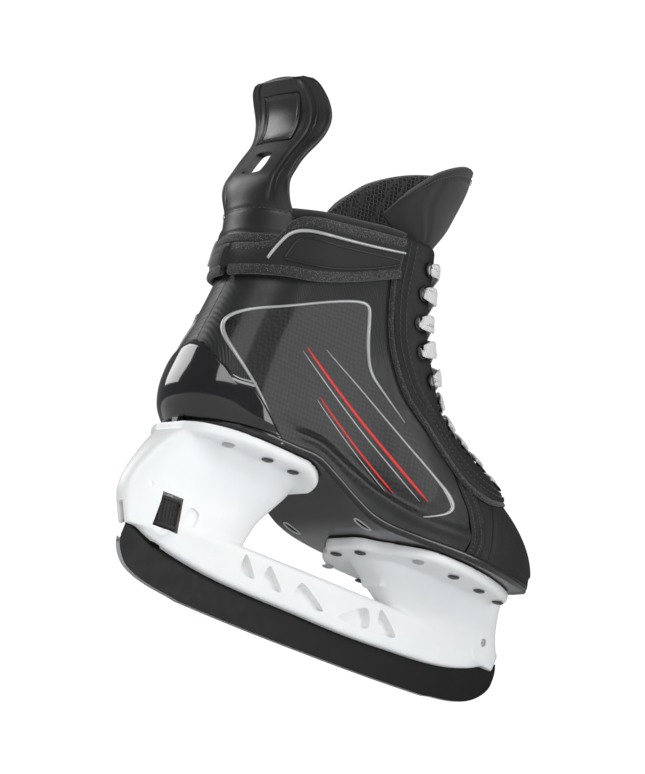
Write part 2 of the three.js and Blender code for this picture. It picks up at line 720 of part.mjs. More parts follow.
function runner() {
  const mouth = CATCH_PIN.radius + PIN_GAP;
  const hook = box([pinX, pinX + LUG_HALF], [-RUNNER_THICK, RUNNER_THICK], [pinZ - mouth, pinZ + mouth]);
  return without(joined([sidePlate(runnerOutline(), RUNNER_THICK), hookLug(0)]),
    [hook, crossPin(pinX, pinZ, mouth, RUNNER_THICK, 12)]);
}

const runnerTop = railFoot(studX) + Math.min(RUNNER_TUCK, wheelFoot - 3 * GAP - railFoot(studX));

function lockStud() {
  return post(studX, 0, [runnerTop + GAP, wheelTop - 2], STUD_RADIUS, 12);
}

// A lathed ring about Z.
function ring(inner, outer, low, high, sides) {
  const profile = [[inner, low], [outer, low], [outer, high], [inner, high], [inner, low]];
  return lathe(profile, sides).rotateX(Math.PI / 2);
}

function lockWheel() {
  const bore = STUD_RADIUS + STUD_GAP;
  const grips = 20;
  const star = new THREE.Shape();
  for (let i = 0; i < 2 * grips; i++) {
    const radius = WHEEL.radius - (i % 2 ? 0.8 : 0);
    const angle = i * Math.PI / grips;
    const point = [radius * Math.cos(angle), radius * Math.sin(angle)];
    if (i) star.lineTo(...point);
    else star.moveTo(...point);
  }
  const rim = new THREE.ExtrudeGeometry(star, { depth: WHEEL.height, bevelEnabled: false });
  return without(rim, [post(0, 0, [-1, WHEEL.height + 1], bore, 12)]);
}

// ---- Holder

// A tower through level outlines: [height, rear, front, half width].
function tower(levels) {
  const corners = 14;
  return loft(levels.map(([z, rear, front, half]) => steps(corners - 1).map((_, i) => {
    const angle = (i + 0.5) * 2 * Math.PI / corners;
    const round = value => Math.sign(value) * Math.abs(value) ** 0.62;
    const x = lerp(rear, front, 0.5 + 0.5 * round(Math.cos(angle))) * KX;
    return new THREE.Vector3(x, half * KY * round(Math.sin(angle)), z * KZ);
  })));
}

// A flange that lies along the sole, from half widths outside and inside along it.
function flange(rows) {
  const [outside, inside] = [1, 2].map(column => outline(KX, KY, rows.map(row => [row[0], row[column]])));
  const chamfer = 3;
  return loft(sectionsBetween(rows[0][0] * KX, rows[rows.length - 1][0] * KX).map(x => {
    const top = soleAt(x) - GAP;
    const [lateral, medial, foot] = [-outside(x), inside(x), top - FLANGE_THICK];
    return [[lateral, top], [lateral, foot + 1], [lateral + chamfer, foot], [medial - chamfer, foot],
      [medial, foot + 1], [medial, top]].map(([y, z]) => new THREE.Vector3(x, y, z));
  }));
}

const HEEL_FLANGE = [
  [-119, 10, 10], [-116, 17, 17], [-110, 23, 23], [-100, 28, 28], [-86, 30.5, 30.5], [-60, 30.5, 30.5],
  [-42, 29, 28], [-33, 25, 24], [-29, 18, 18],
];
const TOE_FLANGE = [
  [15, 9, 9], [17, 14, 13], [24, 20, 19], [31, 31, 29], [42, 41, 37], [60, 43.5, 39.5], [80, 42.5, 38.5],
  [100, 37.5, 35], [118, 29, 28], [129, 20, 19.5], [134, 10, 10],
];
const RIVETS = {
  heel: [[-96, 21], [-70, 24], [-49, 22]],
  toe: [[22, 9], [41.5, 34], [69, 35], [94.5, 31], [118.5, 23.5]],
};

// Level outlines of the towers and of the hollows in them: [height, rear, front, half width].
const HEEL_TOWER = [
  [30, -138, -62, 7.5], [45, -143, -55, 9], [55, -141.5, -50, 9.5], [66, -136, -41, 11.5],
  [76, -129.5, -33.5, 14], [84, -123, -34, HEEL_TOWER_HALF],
];
const TOE_TOWER = [
  [28, 70, 145.5, 7], [36, 62, 146.2, 9], [45, 50, 142, 11.5], [55, 38, 138, 17],
  [65, 28, 134.5, TOE_TOWER_HALF],
];
const HEEL_CORE = [[58, -133, -52, 5], [66, -128, -45, 7.5], [76, -122, -39, 10.5], [91, -115, -42, 13]];
const TOE_CORE = [[48, 58, 133, 8], [55, 47, 130, 13], [69, 39, 126, 20]];

function rail() {
  return loft(steps(16).map(s => {
    const x = lerp(-139, 147, s) * KX;
    const rise = clamp(Math.min(s, 1 - s) * 10, 0.35, 1);
    const top = Math.max(BRIDGE_TOP * KZ * rise, railFoot(x) + 6);
    const foot = railFoot(x);
    const half = [[RAIL_HALF, foot], [BRIDGE_HALF, top - 2], [BRIDGE_HALF - 2, top]];
    const section = [...half, ...half.map(([y, z]) => [-y, z]).reverse()];
    return section.map(([y, z]) => new THREE.Vector3(x, y, z));
  }));
}

function rivetHoles() {
  return [...RIVETS.heel, ...RIVETS.toe].flatMap(([at, out]) => [-1, 1].map(side => {
    const z = soleAt(at * KX);
    const span = [z - FLANGE_THICK - 3, z + SOLE_THICK + 3];
    return post(at * KX, side * out * KY, span, RIVET.stem + RIVET.gap, RIVET.sides);
  }));
}

// Triangular pockets in both faces of the bridge.
function pockets() {
  const outlines = [
    [[-58, 27], [-46, 27], [-57, 37]],
    [[-42, 26], [-27, 25], [-40, 36]],
    [[-20, 24], [4, 23.5], [-16, 34]],
    [[12, 24], [38, 24], [34, 33]],
  ];
  const deep = BRIDGE_HALF - RUNNER_THICK / 2 - 3;
  return outlines.flatMap(points => [-1, 1].map(side => {
    const plate = sidePlate(points.map(([x, z]) => [x * KX, z * KZ]), 2 * deep);
    return plate.translate(0, side * (BRIDGE_HALF + 1), 0);
  }));
}

function holder() {
  const body = joined([rail(), tower(HEEL_TOWER), tower(TOE_TOWER), flange(HEEL_FLANGE), flange(TOE_FLANGE)]);
  const slotTop = x => railFoot(x) + RUNNER_TUCK + 3 * SLOT_GAP;
  const slotOutline = [
    ...steps(12).map(s => {
      const x = lerp(-150, 155, s) * KX;
      return [x, 5 * KZ];
    }),
    ...steps(14).map(s => {
      const x = lerp(155, -150, s) * KX;
      return [x, slotTop(x)];
    }),
  ];
  const slot = sidePlate(slotOutline, RUNNER_THICK + 2 * SLOT_GAP);
  const bay = [wheelFoot - WHEEL_GAP, wheelTop + WHEEL_GAP + WASHER_THICK];
  return without(body, [
    slot,
    tower(HEEL_CORE),
    tower(TOE_CORE),
    hookLug(2 * SLOT_GAP + 0.6),
    crossPin(pinX, pinZ, CATCH_PIN.radius + 0.3, 3 * BRIDGE_HALF, 12),
    post(studX, 0, bay, WHEEL.radius + WHEEL_GAP, 24),
    post(studX, 0, [railFoot(studX), wheelTop + 4], STUD_RADIUS + STUD_GAP, 12),
    ...pockets(),
    ...rivetHoles(),
  ]);
}

function rivet() {
  const { head, rise, stem, sides } = RIVET;
  const top = FLANGE_THICK + 2 * GAP + SOLE_THICK - 0.2;
  const profile = [[0, 0], [head, 0], [head, rise], [stem, rise], [stem, rise + top], [0, rise + top]];
  return lathe(profile, sides).rotateX(Math.PI / 2);
}

// ---- Assembly
add('runner', runner(), 'steel');
add('lock_stud', lockStud(), 'pin');
add('lock_wheel', lockWheel(), 'wheel', mesh => mesh.position.set(studX, 0, wheelFoot));
add('wheel_washer', ring(STUD_RADIUS + STUD_GAP + 0.6, WHEEL.radius - 2, 0, WASHER_THICK, 16), 'pin',
  mesh => mesh.position.set(studX, 0, wheelTop + GAP));
add('catch_pin', crossPin(pinX, pinZ, CATCH_PIN.radius, BRIDGE_HALF - 1, 12), 'pin');
add('holder', holder(), 'white');

for (const [place, spots] of Object.entries(RIVETS)) {
  spots.forEach(([at, out], i) => {
    for (const [side, sign] of Object.entries(SIDES)) {
      const x = at * KX;
      const z = soleAt(x) - GAP - FLANGE_THICK - GAP - RIVET.rise;
      const name = `${place}_rivet_${side}_${i + 1}`;
      add(name, rivet(), 'rivet', mesh => mesh.position.set(x, sign * out * KY, z));
    }
  });
}

add('outsole', without(footPlank(0, SOLE_THICK, 0.5), rivetHoles()), 'composite');
add('footbed', footPlank(RIM, FOOTBED_THICK, SHELL_WALL + SKIN_GAP), 'liner');
for (const side of Object.keys(SIDES)) {
  add(`quarter_${side}`, quarter(side), 'shell');
  add(`vamp_${side}`, vamp(side), 'rubber');
  add(`eyestay_${side}`, eyestay(side), 'rubber');
  for (let i = 0; i < EYELETS_PER_SIDE; i++) {
    add(`eyelet_${side}_${i + 1}`, eyeletRing(), 'rivet',
      mesh => seat(mesh, eyeletSpot(i), side, SKIN_GAP + EYESTAY_THICK + GAP));
  }
}
add('heel_counter', counter(), 'gloss');
add('cuff', cuff(), 'textile');
add('toe_cap', toeCap(), 'rubber');
add('liner', liner(), 'liner');
add('tongue_lower', tongueLower(), 'textile');
add('tongue_upper', tongueUpper(), 'textile');
add('lace', lace(), 'lace');
add('guard_root', guardRoot(), 'textile');
add('tendon_guard', guard(), 'gloss');
add('guard_badge', badge(), 'gloss');

export default skate;
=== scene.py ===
"""Looks for a right-foot ice hockey skate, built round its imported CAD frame.
Shapes are worked out in millimetres, +X toe, +Y inner side, +Z up.
They are turned to metres as each mesh is made."""
import math

import bmesh
import bpy
import numpy as np
from mathutils import Matrix, Vector


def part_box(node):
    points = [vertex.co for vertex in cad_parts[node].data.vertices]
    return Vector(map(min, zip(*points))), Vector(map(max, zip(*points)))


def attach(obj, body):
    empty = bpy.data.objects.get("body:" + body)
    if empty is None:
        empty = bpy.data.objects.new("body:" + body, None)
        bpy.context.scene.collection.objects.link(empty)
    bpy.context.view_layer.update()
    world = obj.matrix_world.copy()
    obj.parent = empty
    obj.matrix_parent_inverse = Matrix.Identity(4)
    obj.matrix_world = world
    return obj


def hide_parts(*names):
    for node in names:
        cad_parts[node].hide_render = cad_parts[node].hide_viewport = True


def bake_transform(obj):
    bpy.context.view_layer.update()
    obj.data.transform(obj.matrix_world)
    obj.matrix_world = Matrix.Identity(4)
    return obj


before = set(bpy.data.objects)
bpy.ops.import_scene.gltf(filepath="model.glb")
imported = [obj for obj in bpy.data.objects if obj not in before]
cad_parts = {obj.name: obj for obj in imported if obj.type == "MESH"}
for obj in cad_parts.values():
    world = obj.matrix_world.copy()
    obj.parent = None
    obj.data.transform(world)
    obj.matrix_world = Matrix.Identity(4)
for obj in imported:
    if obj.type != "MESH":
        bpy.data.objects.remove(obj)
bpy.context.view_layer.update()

MM = 0.001
SIDES = {"lateral": -1, "medial": 1}

# ---- Camera: behind, outside and a little below the skate, a long lens rolled ten degrees
CAMERA_PLACE = (-1.2318, -1.2958, -0.3531)
CAMERA_AIM = (-0.0126, 0.0067, 0.1437)
CAMERA_ROLL = 10.58
CAMERA_LENS = 160.3


def make_camera():
    camera = bpy.data.objects.new("camera", bpy.data.cameras.new("camera"))
    bpy.context.scene.collection.objects.link(camera)
    look = (Vector(CAMERA_AIM) - Vector(CAMERA_PLACE)).to_track_quat("-Z", "Y")
    turn = Matrix.Rotation(math.radians(CAMERA_ROLL), 4, "Z")
    camera.matrix_world = Matrix.Translation(CAMERA_PLACE) @ look.to_matrix().to_4x4() @ turn
    camera.data.lens = CAMERA_LENS
    camera.data.clip_end = 20
    bpy.context.scene.camera = camera


make_camera()

# ---- Curves and the boot's surface, as in the CAD source


def spline(rows):
    """A smooth function through (key, value) rows, level past both ends."""
    keys, values = np.array(rows, float).T
    span = np.diff(keys)
    slope = np.zeros(len(keys))
    slope[1:-1] = (values[2:] - values[:-2]) / (keys[2:] - keys[:-2])
    slope[0] = (values[1] - values[0]) / span[0]
    slope[-1] = (values[-1] - values[-2]) / span[-1]

    def at(key):
        i = np.clip(np.searchsorted(keys, key) - 1, 0, len(keys) - 2)
        t = np.clip((key - keys[i]) / span[i], 0, 1)
        bend = span[i] * (slope[i] * t * (1 - t) ** 2 - slope[i + 1] * (1 - t) * t * t)
        return values[i] + bend + (values[i + 1] - values[i]) * t * t * (3 - 2 * t)

    return at


def route(points):
    """A smooth line through points, read from 0 to 1; it gives an array with the points' columns."""
    columns = [spline([(i, p[k]) for i, p in enumerate(points)]) for k in range(len(points[0]))]
    return lambda t: np.stack([column(np.asarray(t, float) * (len(points) - 1)) for column in columns], -1)


def lerp(a, b, t):
    return a + (b - a) * t


def ease(t):
    t = np.clip(t, 0, 1)
    return t * t * (3 - 2 * t)


SOLE_THICK, SEAM_GAP, SHELL_WALL, LINER_THICK, SKIN_GAP = 2.5, 1.3, 3.4, 4.8, 1.1
RIM = SOLE_THICK + SEAM_GAP
HEEL_ROUND, TOE_START, TOE_TIP = 34, 85, 148
sole_at = spline([
    (-120, 90), (-60, 90), (-43, 89.6), (-30, 84.5), (-15, 77), (0, 70.5), (18, 68), (60, 67.3), (105, 66.8),
    (130, 68.5), (148, 73),
])
back_at = spline([
    (88, -109), (93, -112.5), (98, -115.5), (105, -118), (113, -118.5), (123, -116.5), (140, -111.5),
    (161, -104), (180, -98.5), (200, -97), (215, -98), (232, -99),
])
ridge_at = spline([
    (-20, 600), (0, 420), (10, 300), (22, 215), (30, 177), (42, 153), (60, 138), (80, 128), (100, 118.5),
    (115, 111), (132, 100), (148, 86),
])
collar_at = spline([(-103, 212), (-78, 217), (-60, 221), (-37, 225), (-18, 228), (14, 229)])
WIDTHS = {
    "lateral": spline([
        (-120, 32.5), (-50, 32.5), (-20, 34.5), (10, 40), (35, 45.5), (60, 49.5), (80, 50), (100, 47),
        (148, 40),
    ]),
    "medial": spline([
        (-120, 32.5), (-50, 32), (-20, 33), (10, 37.5), (35, 41.5), (60, 44), (80, 44.5), (100, 43),
        (148, 40),
    ]),
}
waist_at = spline([(66, 0.96), (82, 1), (122, 1), (150, 0.95), (180, 0.925), (212, 0.94), (232, 0.96)])
FACING = route([
    (13, 227), (13.4, 212), (12.5, 196), (14, 181), (19, 168), (27, 157.5), (38, 148.5), (51, 137.5),
    (67, 130.5), (82, 124.5), (97, 118.6),
])
FACING_SEAM = route([
    (-12, 226), (-12, 211), (-12, 196), (-8.5, 174), (-3, 159), (7.4, 142.5), (22.5, 130.6), (42, 117),
    (57.4, 107), (76, 104), (98, 109),
])
QUARTER_FRONT = route([
    (60, 71), (61.5, 79), (57.5, 92), (49.5, 105), (41, 121), (27, 134), (13, 147), (3, 161), (-2, 176),
    (-5, 198), (-6, 226),
])


def half_width(x, z, side, inset):
    """Half width of the boot's outer surface at a point of the side view, inset evenly."""
    floor = sole_at(x)
    up = np.clip((z - floor) / (ridge_at(x) - floor - inset), 0, 1)
    heel = np.clip((x - back_at(z) - inset) / (HEEL_ROUND - inset), 0, 1)
    toe = np.clip((x - TOE_START) / (TOE_TIP - inset - TOE_START), 0, 1)
    wide = WIDTHS[side](x) * waist_at(z) - inset
    return wide * (1 - up**2.6) ** (1 / 2.2) * np.sqrt(1 - (1 - heel) ** 2) * (1 - toe**2.5) ** (1 / 2.2)


def skin(x, z, side, inset=0.0):
    x, z = np.broadcast_arrays(np.asarray(x, float), np.asarray(z, float))
    return np.stack([x, SIDES[side] * half_width(x, z, side, inset), z], -1)


def unit(v):
    return v / np.maximum(np.linalg.norm(v, axis=-1, keepdims=True), 1e-9)


def skin_normal(x, z, side):
    step = 0.6
    along_x = skin(x + step, z, side) - skin(x - step, z, side)
    along_z = skin(x, z + step, side) - skin(x, z - step, side)
    return unit(np.cross(along_z, along_x) * SIDES[side])


# ---- Meshes


def make_piece(name, points, faces, finishes, body="boot", slot=None, replaced=(), sharp=38, kinds=None):
    """A closed mesh from points in millimetres, riding on a body."""
    mesh = bpy.data.meshes.new(name)
    mesh.from_pydata((np.asarray(points) * MM).tolist(), [], faces)
    for finish in finishes:
        mesh.materials.append(finish)
    if kinds is not None:
        mesh.polygons.foreach_set("material_index", np.asarray(kinds, np.int32))
    tidy = bmesh.new()
    tidy.from_mesh(mesh)
    bmesh.ops.remove_doubles(tidy, verts=tidy.verts, dist=2e-6)
    bmesh.ops.dissolve_degenerate(tidy, edges=tidy.edges, dist=1e-7)
    bmesh.ops.recalc_face_normals(tidy, faces=tidy.faces)
    tidy.to_mesh(mesh)
    tidy.free()
    smooth(mesh, sharp)
    piece = bpy.data.objects.new(name, mesh)
    bpy.context.scene.collection.objects.link(piece)
    if body:
        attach(piece, body)
    if replaced:
        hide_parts(*replaced)
    return piece


def smooth(mesh, sharp):
    mesh.polygons.foreach_set("use_smooth", [True] * len(mesh.polygons))
    mesh.set_sharp_from_angle(angle=math.radians(sharp))


def grid_faces(index, turn=False):
    a, b, c, d = index[:-1, :-1], index[:-1, 1:], index[1:, 1:], index[1:, :-1]
    order = (a, d, c, b) if turn else (a, b, c, d)
    return np.stack(order, -1).reshape(-1, 4).tolist()


def sheet_mesh(outer, inner):
    """Points, faces and kinds (0 outer, 1 inner, 2 edge) of the wall between two grids."""
    rows, columns = outer.shape[:2]
    index = np.arange(rows * columns).reshape(rows, columns)
    back = index + rows * columns
    border = np.concatenate([index[0, :-1], index[:-1, -1], index[-1, :0:-1], index[:0:-1, 0]])
    after = np.roll(border, -1)
    rim = np.stack([border, after, after + rows * columns, border + rows * columns], -1).tolist()
    front, rear = grid_faces(index), grid_faces(back, True)
    kinds = [0] * len(front) + [1] * len(rear) + [2] * len(rim)
    return np.concatenate([outer.reshape(-1, 3), inner.reshape(-1, 3)]), front + rear + rim, kinds


def soft_edge(outer, inner, round_by=1.0, cells=1):
    """Draws the outermost cells of both grids towards the middle of the wall, so that its edge is round."""
    rows, columns = outer.shape[:2]
    i = np.minimum(np.arange(rows), np.arange(rows)[::-1])[:, None]
    j = np.minimum(np.arange(columns), np.arange(columns)[::-1])[None, :]
    near = np.clip(1 - np.minimum(i, j) / cells, 0, 1)[..., None] ** 2 * 0.5 * round_by
    return outer + (inner - outer) * near, inner + (outer - inner) * near


def sheet(name, outer, inner, finishes, edge_cells=0, kinds=None, **more):
    if edge_cells:
        outer, inner = soft_edge(outer, inner, 0.8, edge_cells)
    points, faces, parts = sheet_mesh(outer, inner)
    count = len(finishes)
    if kinds is None:
        kinds = [min(part, count - 1) for part in parts]
    else:
        kinds = list(kinds) + [count - 1] * (len(faces) - len(kinds))
    return make_piece(name, points, faces, finishes, kinds=kinds, **more)


def closed_loft(loops):
    """Points and faces of a solid through loops of points."""
    loops = np.asarray(loops, float)
    rows, count = loops.shape[:2]
    index = np.arange(rows * count).reshape(rows, count)
    faces = grid_faces(np.concatenate([index, index[:, :1]], 1))
    return loops.reshape(-1, 3), faces + [index[0, ::-1].tolist(), index[-1].tolist()]


def loft(name, loops, finishes, **more):
    """A piece through loops of points, with closed ends."""
    points, faces = closed_loft(loops)
    return make_piece(name, points, faces, finishes, **more)


def oval(sides, across, high, power=1.0):
    angle = np.arange(sides) * 2 * np.pi / sides
    c, s = np.cos(angle), np.sin(angle)
    return np.stack([across * np.sign(c) * np.abs(c) ** power, high * np.sign(s) * np.abs(s) ** power], -1)


def sweep_loops(line, outward, section, scale=None):
    """Loops of a section (across, outward) carried along a line with the given outward directions."""
    along = unit(np.gradient(line, axis=0))
    across = unit(np.cross(outward, along))
    out = unit(np.cross(along, across))
    scale = np.ones(len(line)) if scale is None else scale
    wide = section[None, :, :1] * across[:, None] * scale[:, None, None]
    return line[:, None] + wide + section[None, :, 1:] * out[:, None]


def chaikin(points, rounds=3):
    """Cuts the corners of an open line, keeping its ends."""
    points = np.asarray(points, float)
    for _ in range(rounds):
        a, b = points[:-1], points[1:]
        cut = np.stack([lerp(a, b, 0.25), lerp(a, b, 0.75)], 1).reshape(-1, points.shape[1])
        points = np.concatenate([points[:1], cut[1:-1], points[-1:]])
    return points


def spaced(points, pitch):
    """The line's points again, at an even pitch along it."""
    run = np.concatenate([[0], np.cumsum(np.linalg.norm(np.diff(points[:, :2], axis=0), axis=1))])
    at = np.linspace(0, run[-1], max(int(run[-1] / pitch), 2) + 1)
    return np.stack([np.interp(at, run, points[:, k]) for k in range(points.shape[1])], -1)


def trim(name, points, side, lift, high, finish, slot, rounds=3, pitch=1.2):
    """A raised line on the boot's surface, through side-view points (x, z, width)."""
    line = spaced(chaikin(points, rounds), pitch)
    x, z, wide = line.T
    seat = skin(x, z, side, -lift)
    section = oval(8, 0.5, high, 0.7)
    loops = sweep_loops(seat, skin_normal(x, z, side), section, wide)
    return loft(f"{name}_{side}", loops, [finish], slot=slot, sharp=60)


def stitches(name, line, outward, finish, slot, pitch=2.9, size=(1.9, 0.5, 0.34)):
    """A row of thread stitches along a line."""
    run = np.concatenate([[0], np.cumsum(np.linalg.norm(np.diff(line, axis=0), axis=1))])
    at = np.arange(pitch / 2, run[-1], pitch)
    place = np.stack([np.interp(at, run, line[:, k]) for k in range(3)], -1)
    out = unit(np.stack([np.interp(at, run, outward[:, k]) for k in range(3)], -1))
    along = unit(np.stack([np.interp(at, run, unit(np.gradient(line, axis=0))[:, k]) for k in range(3)], -1))
    across = np.cross(out, along)
    stations = [(-0.5, 0.45), (-0.3, 1), (0.3, 1), (0.5, 0.45)]
    ring = [(-1, 0), (-0.6, 0.8), (0.6, 0.8), (1, 0), (0, -0.8)]
    points, faces = [], []
    for p, o, a, c in zip(place, out, along, across):
        start = len(points)
        for s, thin in stations:
            for u, v in ring:
                points.append(p + a * s * size[0] + c * u * size[1] * 0.5 * thin + o * v * size[2] * thin)
        count = len(ring)
        for k in range(len(stations) - 1):
            for n in range(count):
                m = (n + 1) % count
                corner = start + k * count
                faces.append([corner + n, corner + m, corner + count + m, corner + count + n])
        faces.append([start + n for n in reversed(range(count))])
        faces.append([start + (len(stations) - 1) * count + n for n in range(count)])
    return make_piece(name, points, faces, [finish], slot=slot)


def lathe(profile, sides, centre, axis):
    """Points and faces of a solid turned round an axis.
    The profile starts and ends on the axis, or is closed."""
    radius, high = np.array(profile, float).T
    angle = np.arange(sides) * 2 * np.pi / sides
    axis = np.asarray(axis, float)
    side = unit(np.cross(axis, [0.3, 0.2, 1.0] if abs(axis[2]) < 0.9 else [1.0, 0, 0]))
    other = np.cross(axis, side)
    spin = side * np.cos(angle)[:, None] + other * np.sin(angle)[:, None]
    grid = np.asarray(centre) + radius[:, None, None] * spin[None] + high[:, None, None] * axis
    index = np.arange(grid.shape[0] * sides).reshape(-1, sides)
    return grid.reshape(-1, 3), grid_faces(np.concatenate([index, index[:, :1]], 1))


def flatten(piece):
    """Applies the piece's modifiers."""
    graph = bpy.context.evaluated_depsgraph_get()
    mesh = bpy.data.meshes.new_from_object(piece.evaluated_get(graph))
    piece.modifiers.clear()
    piece.data = mesh
    return piece


def carve(piece, cutters, solver="MANIFOLD"):
    """Cuts solids, given as (points, faces), out of a piece."""
    for points, faces in cutters:
        cutter = make_piece("cutter", points, faces, piece.data.materials[:1], body=None)
        cut = piece.modifiers.new("cut", "BOOLEAN")
        cut.operation, cut.solver, cut.object = "DIFFERENCE", solver, cutter
        flatten(piece)
        bpy.data.objects.remove(cutter)
    return piece


def prism(outline, axis, low, high):
    """Points and faces of an outline of (u, v) points pushed along an axis: 'x', 'y' or 'z'."""
    order = {"x": (2, 0, 1), "y": (0, 2, 1), "z": (0, 1, 2)}[axis]
    count = len(outline)
    flat = [[*p, level] for level in (low, high) for p in outline]
    points = np.array(flat)[:, order]
    faces = [list(reversed(range(count))), [count + n for n in range(count)]]
    faces += [[n, (n + 1) % count, count + (n + 1) % count, count + n] for n in range(count)]
    return points, faces


def round_outline(corners, radius_share=0.3, rounds=3):
    """Cuts the corners of a closed outline."""
    points = np.asarray(corners, float)
    for n in range(rounds):
        share = radius_share if n == 0 else 0.25
        after = np.roll(points, -1, axis=0)
        points = np.stack([lerp(points, after, share), lerp(points, after, 1 - share)], 1).reshape(-1, 2)
    return points


# ---- Materials


class Paint:
    """A Principled material, with short calls for the texture nodes that feed it."""

    def __init__(self, name, **fixed):
        self.material = bpy.data.materials.new(name)
        self.material.use_nodes = True
        self.tree = self.material.node_tree
        self.shader = self.tree.nodes["Principled BSDF"]
        for socket, value in fixed.items():
            self.set(socket.replace("_", " "), value)
        self.coords = self.tree.nodes.new("ShaderNodeTexCoord").outputs["Object"]

    def set(self, socket, value):
        found = next(s for s in self.shader.inputs if s.name.lower() == socket.lower())
        found.default_value = (*value, 1) if isinstance(value, tuple) else value

    def feed(self, socket, output):
        self.tree.links.new(output, self.shader.inputs[socket])

    def node(self, kind, **settings):
        made = self.tree.nodes.new("ShaderNode" + kind)
        for key, value in settings.items():
            setattr(made, key, value)
        return made

    def place(self, scale, turn=(0, 0, 0)):
        """Coordinates in cells: scale is cells for each metre along X, Y and Z, after a turn in degrees."""
        move = self.node("Mapping")
        self.tree.links.new(self.coords, move.inputs["Vector"])
        move.inputs["Rotation"].default_value = [math.radians(a) for a in turn]
        move.inputs["Scale"].default_value = scale if isinstance(scale, tuple) else (scale,) * 3
        return move.outputs["Vector"]

    def noise(self, scale, detail=2.0, rough=0.5, turn=(0, 0, 0)):
        made = self.node("TexNoise")
        made.inputs["Scale"].default_value = 1
        made.inputs["Detail"].default_value = detail
        made.inputs["Roughness"].default_value = rough
        self.tree.links.new(self.place(scale, turn), made.inputs["Vector"])
        return made.outputs["Fac"]

    def cells(self, scale, feature="F1", turn=(0, 0, 0), random=1.0):
        made = self.node("TexVoronoi", feature=feature)
        made.inputs["Scale"].default_value = 1
        made.inputs["Randomness"].default_value = random
        self.tree.links.new(self.place(scale, turn), made.inputs["Vector"])
        return made.outputs["Distance"]

    def waves(self, scale, turn=(0, 0, 0), distort=0.0):
        """Ridges across X: scale is the number of ridges for each metre."""
        made = self.node("TexWave", wave_type="BANDS", bands_direction="X")
        made.inputs["Scale"].default_value = 0.31831
        made.inputs["Distortion"].default_value = distort
        self.tree.links.new(self.place(scale, turn), made.inputs["Vector"])
        return made.outputs["Fac"]

    def checks(self, scale, turn=(0, 0, 0)):
        made = self.node("TexChecker")
        made.inputs["Scale"].default_value = 1
        self.tree.links.new(self.place(scale, turn), made.inputs["Vector"])
        return made.outputs["Fac"]

    def maths(self, operation, a, b):
        made = self.node("Math", operation=operation)
        for socket, value in zip(made.inputs, (a, b)):
            if isinstance(value, (int, float)):
                socket.default_value = value
            else:
                self.tree.links.new(value, socket)
        return made.outputs[0]

    def between(self, share, a, b):
        """a where share is 0, b where it is 1; numbers or colours."""
        made = self.node("Mix", data_type="RGBA")
        self.tree.links.new(share, made.inputs["Factor"])
        for socket, value in ((made.inputs[6], a), (made.inputs[7], b)):
            if isinstance(value, tuple):
                socket.default_value = (*value, 1)
            else:
                self.tree.links.new(value, socket)
        return made.outputs[2]

    def ramp(self, share, stops):
        """Colour by share: stops are (place, grey or colour)."""
        made = self.node("ValToRGB")
        bar = made.color_ramp.elements
        while len(bar) < len(stops):
            bar.new(0.5)
        for element, (place, colour) in zip(bar, stops):
            element.position = place
            element.color = (*colour, 1) if isinstance(colour, tuple) else (colour, colour, colour, 1)
        self.tree.links.new(share, made.inputs["Fac"])
        return made.outputs["Color"]

    def bump(self, height, depth, strength=1.0):
        made = self.node("Bump")
        made.inputs["Strength"].default_value = strength
        made.inputs["Distance"].default_value = depth * MM
        self.tree.links.new(height, made.inputs["Height"])
        self.feed("Normal", made.outputs["Normal"])

    def done(self):
        return self.material


def plain(name, dark, light, rough, spots=220, grain=2600, depth=0.03, **fixed):
    """A moulded or painted surface: slow colour change, a fine grain and uneven gloss."""
    paint = Paint(name, **fixed)
    slow = paint.noise(spots, 3)
    paint.feed("Base Color", paint.between(slow, dark, light))
    uneven = paint.noise(spots * 2.3, 4)
    paint.feed("Roughness", paint.ramp(uneven, [(0.3, rough * 0.88), (0.7, rough * 1.12)]))
    paint.bump(paint.noise(grain, 3), depth)
    return paint.done()


def ribbed_shell():
    """Satin composite with fine moulded ribs."""
    paint = Paint("ribbed_shell", Specular_IOR_Level=0.3)
    ribs = paint.waves((900, 0, 0), (0, 12, 0))
    patch = paint.ramp(paint.noise((14, 14, 11), 1), [(0.42, 0.0), (0.55, 1.0)])
    slow = paint.noise(60, 3)
    paint.feed("Base Color", paint.between(slow, (0.012, 0.0125, 0.013), (0.026, 0.0265, 0.0275)))
    paint.feed("Roughness", paint.ramp(paint.noise(400, 4), [(0.3, 0.34), (0.7, 0.46)]))
    paint.bump(paint.maths("MULTIPLY", ribs, patch), 0.12)
    return paint.done()


def carbon_weave():
    """Twill of dark fibre bundles under a clear coat."""
    paint = Paint("carbon_weave", Coat_Weight=0.25, Coat_Roughness=0.14, Specular_IOR_Level=0.25)
    over = paint.checks((560, 560, 560), (0, 45, 0))
    up = paint.waves((2600, 0, 0), (0, 45, 0))
    along = paint.waves((2600, 0, 0), (0, -45, 0))
    thread = paint.between(over, up, along)
    light = paint.between(over, (0.008, 0.008, 0.0085), (0.026, 0.0265, 0.028))
    shade = paint.between(paint.noise(30, 2), (0.55, 0.55, 0.55), (1.0, 1.0, 1.0))
    tint = paint.node("Mix", data_type="RGBA", blend_type="MULTIPLY")
    tint.inputs["Factor"].default_value = 1
    paint.tree.links.new(light, tint.inputs[6])
    paint.tree.links.new(shade, tint.inputs[7])
    paint.feed("Base Color", tint.outputs[2])
    paint.feed("Roughness", paint.ramp(over, [(0.0, 0.3), (1.0, 0.44)]))
    paint.bump(thread, 0.05)
    return paint.done()


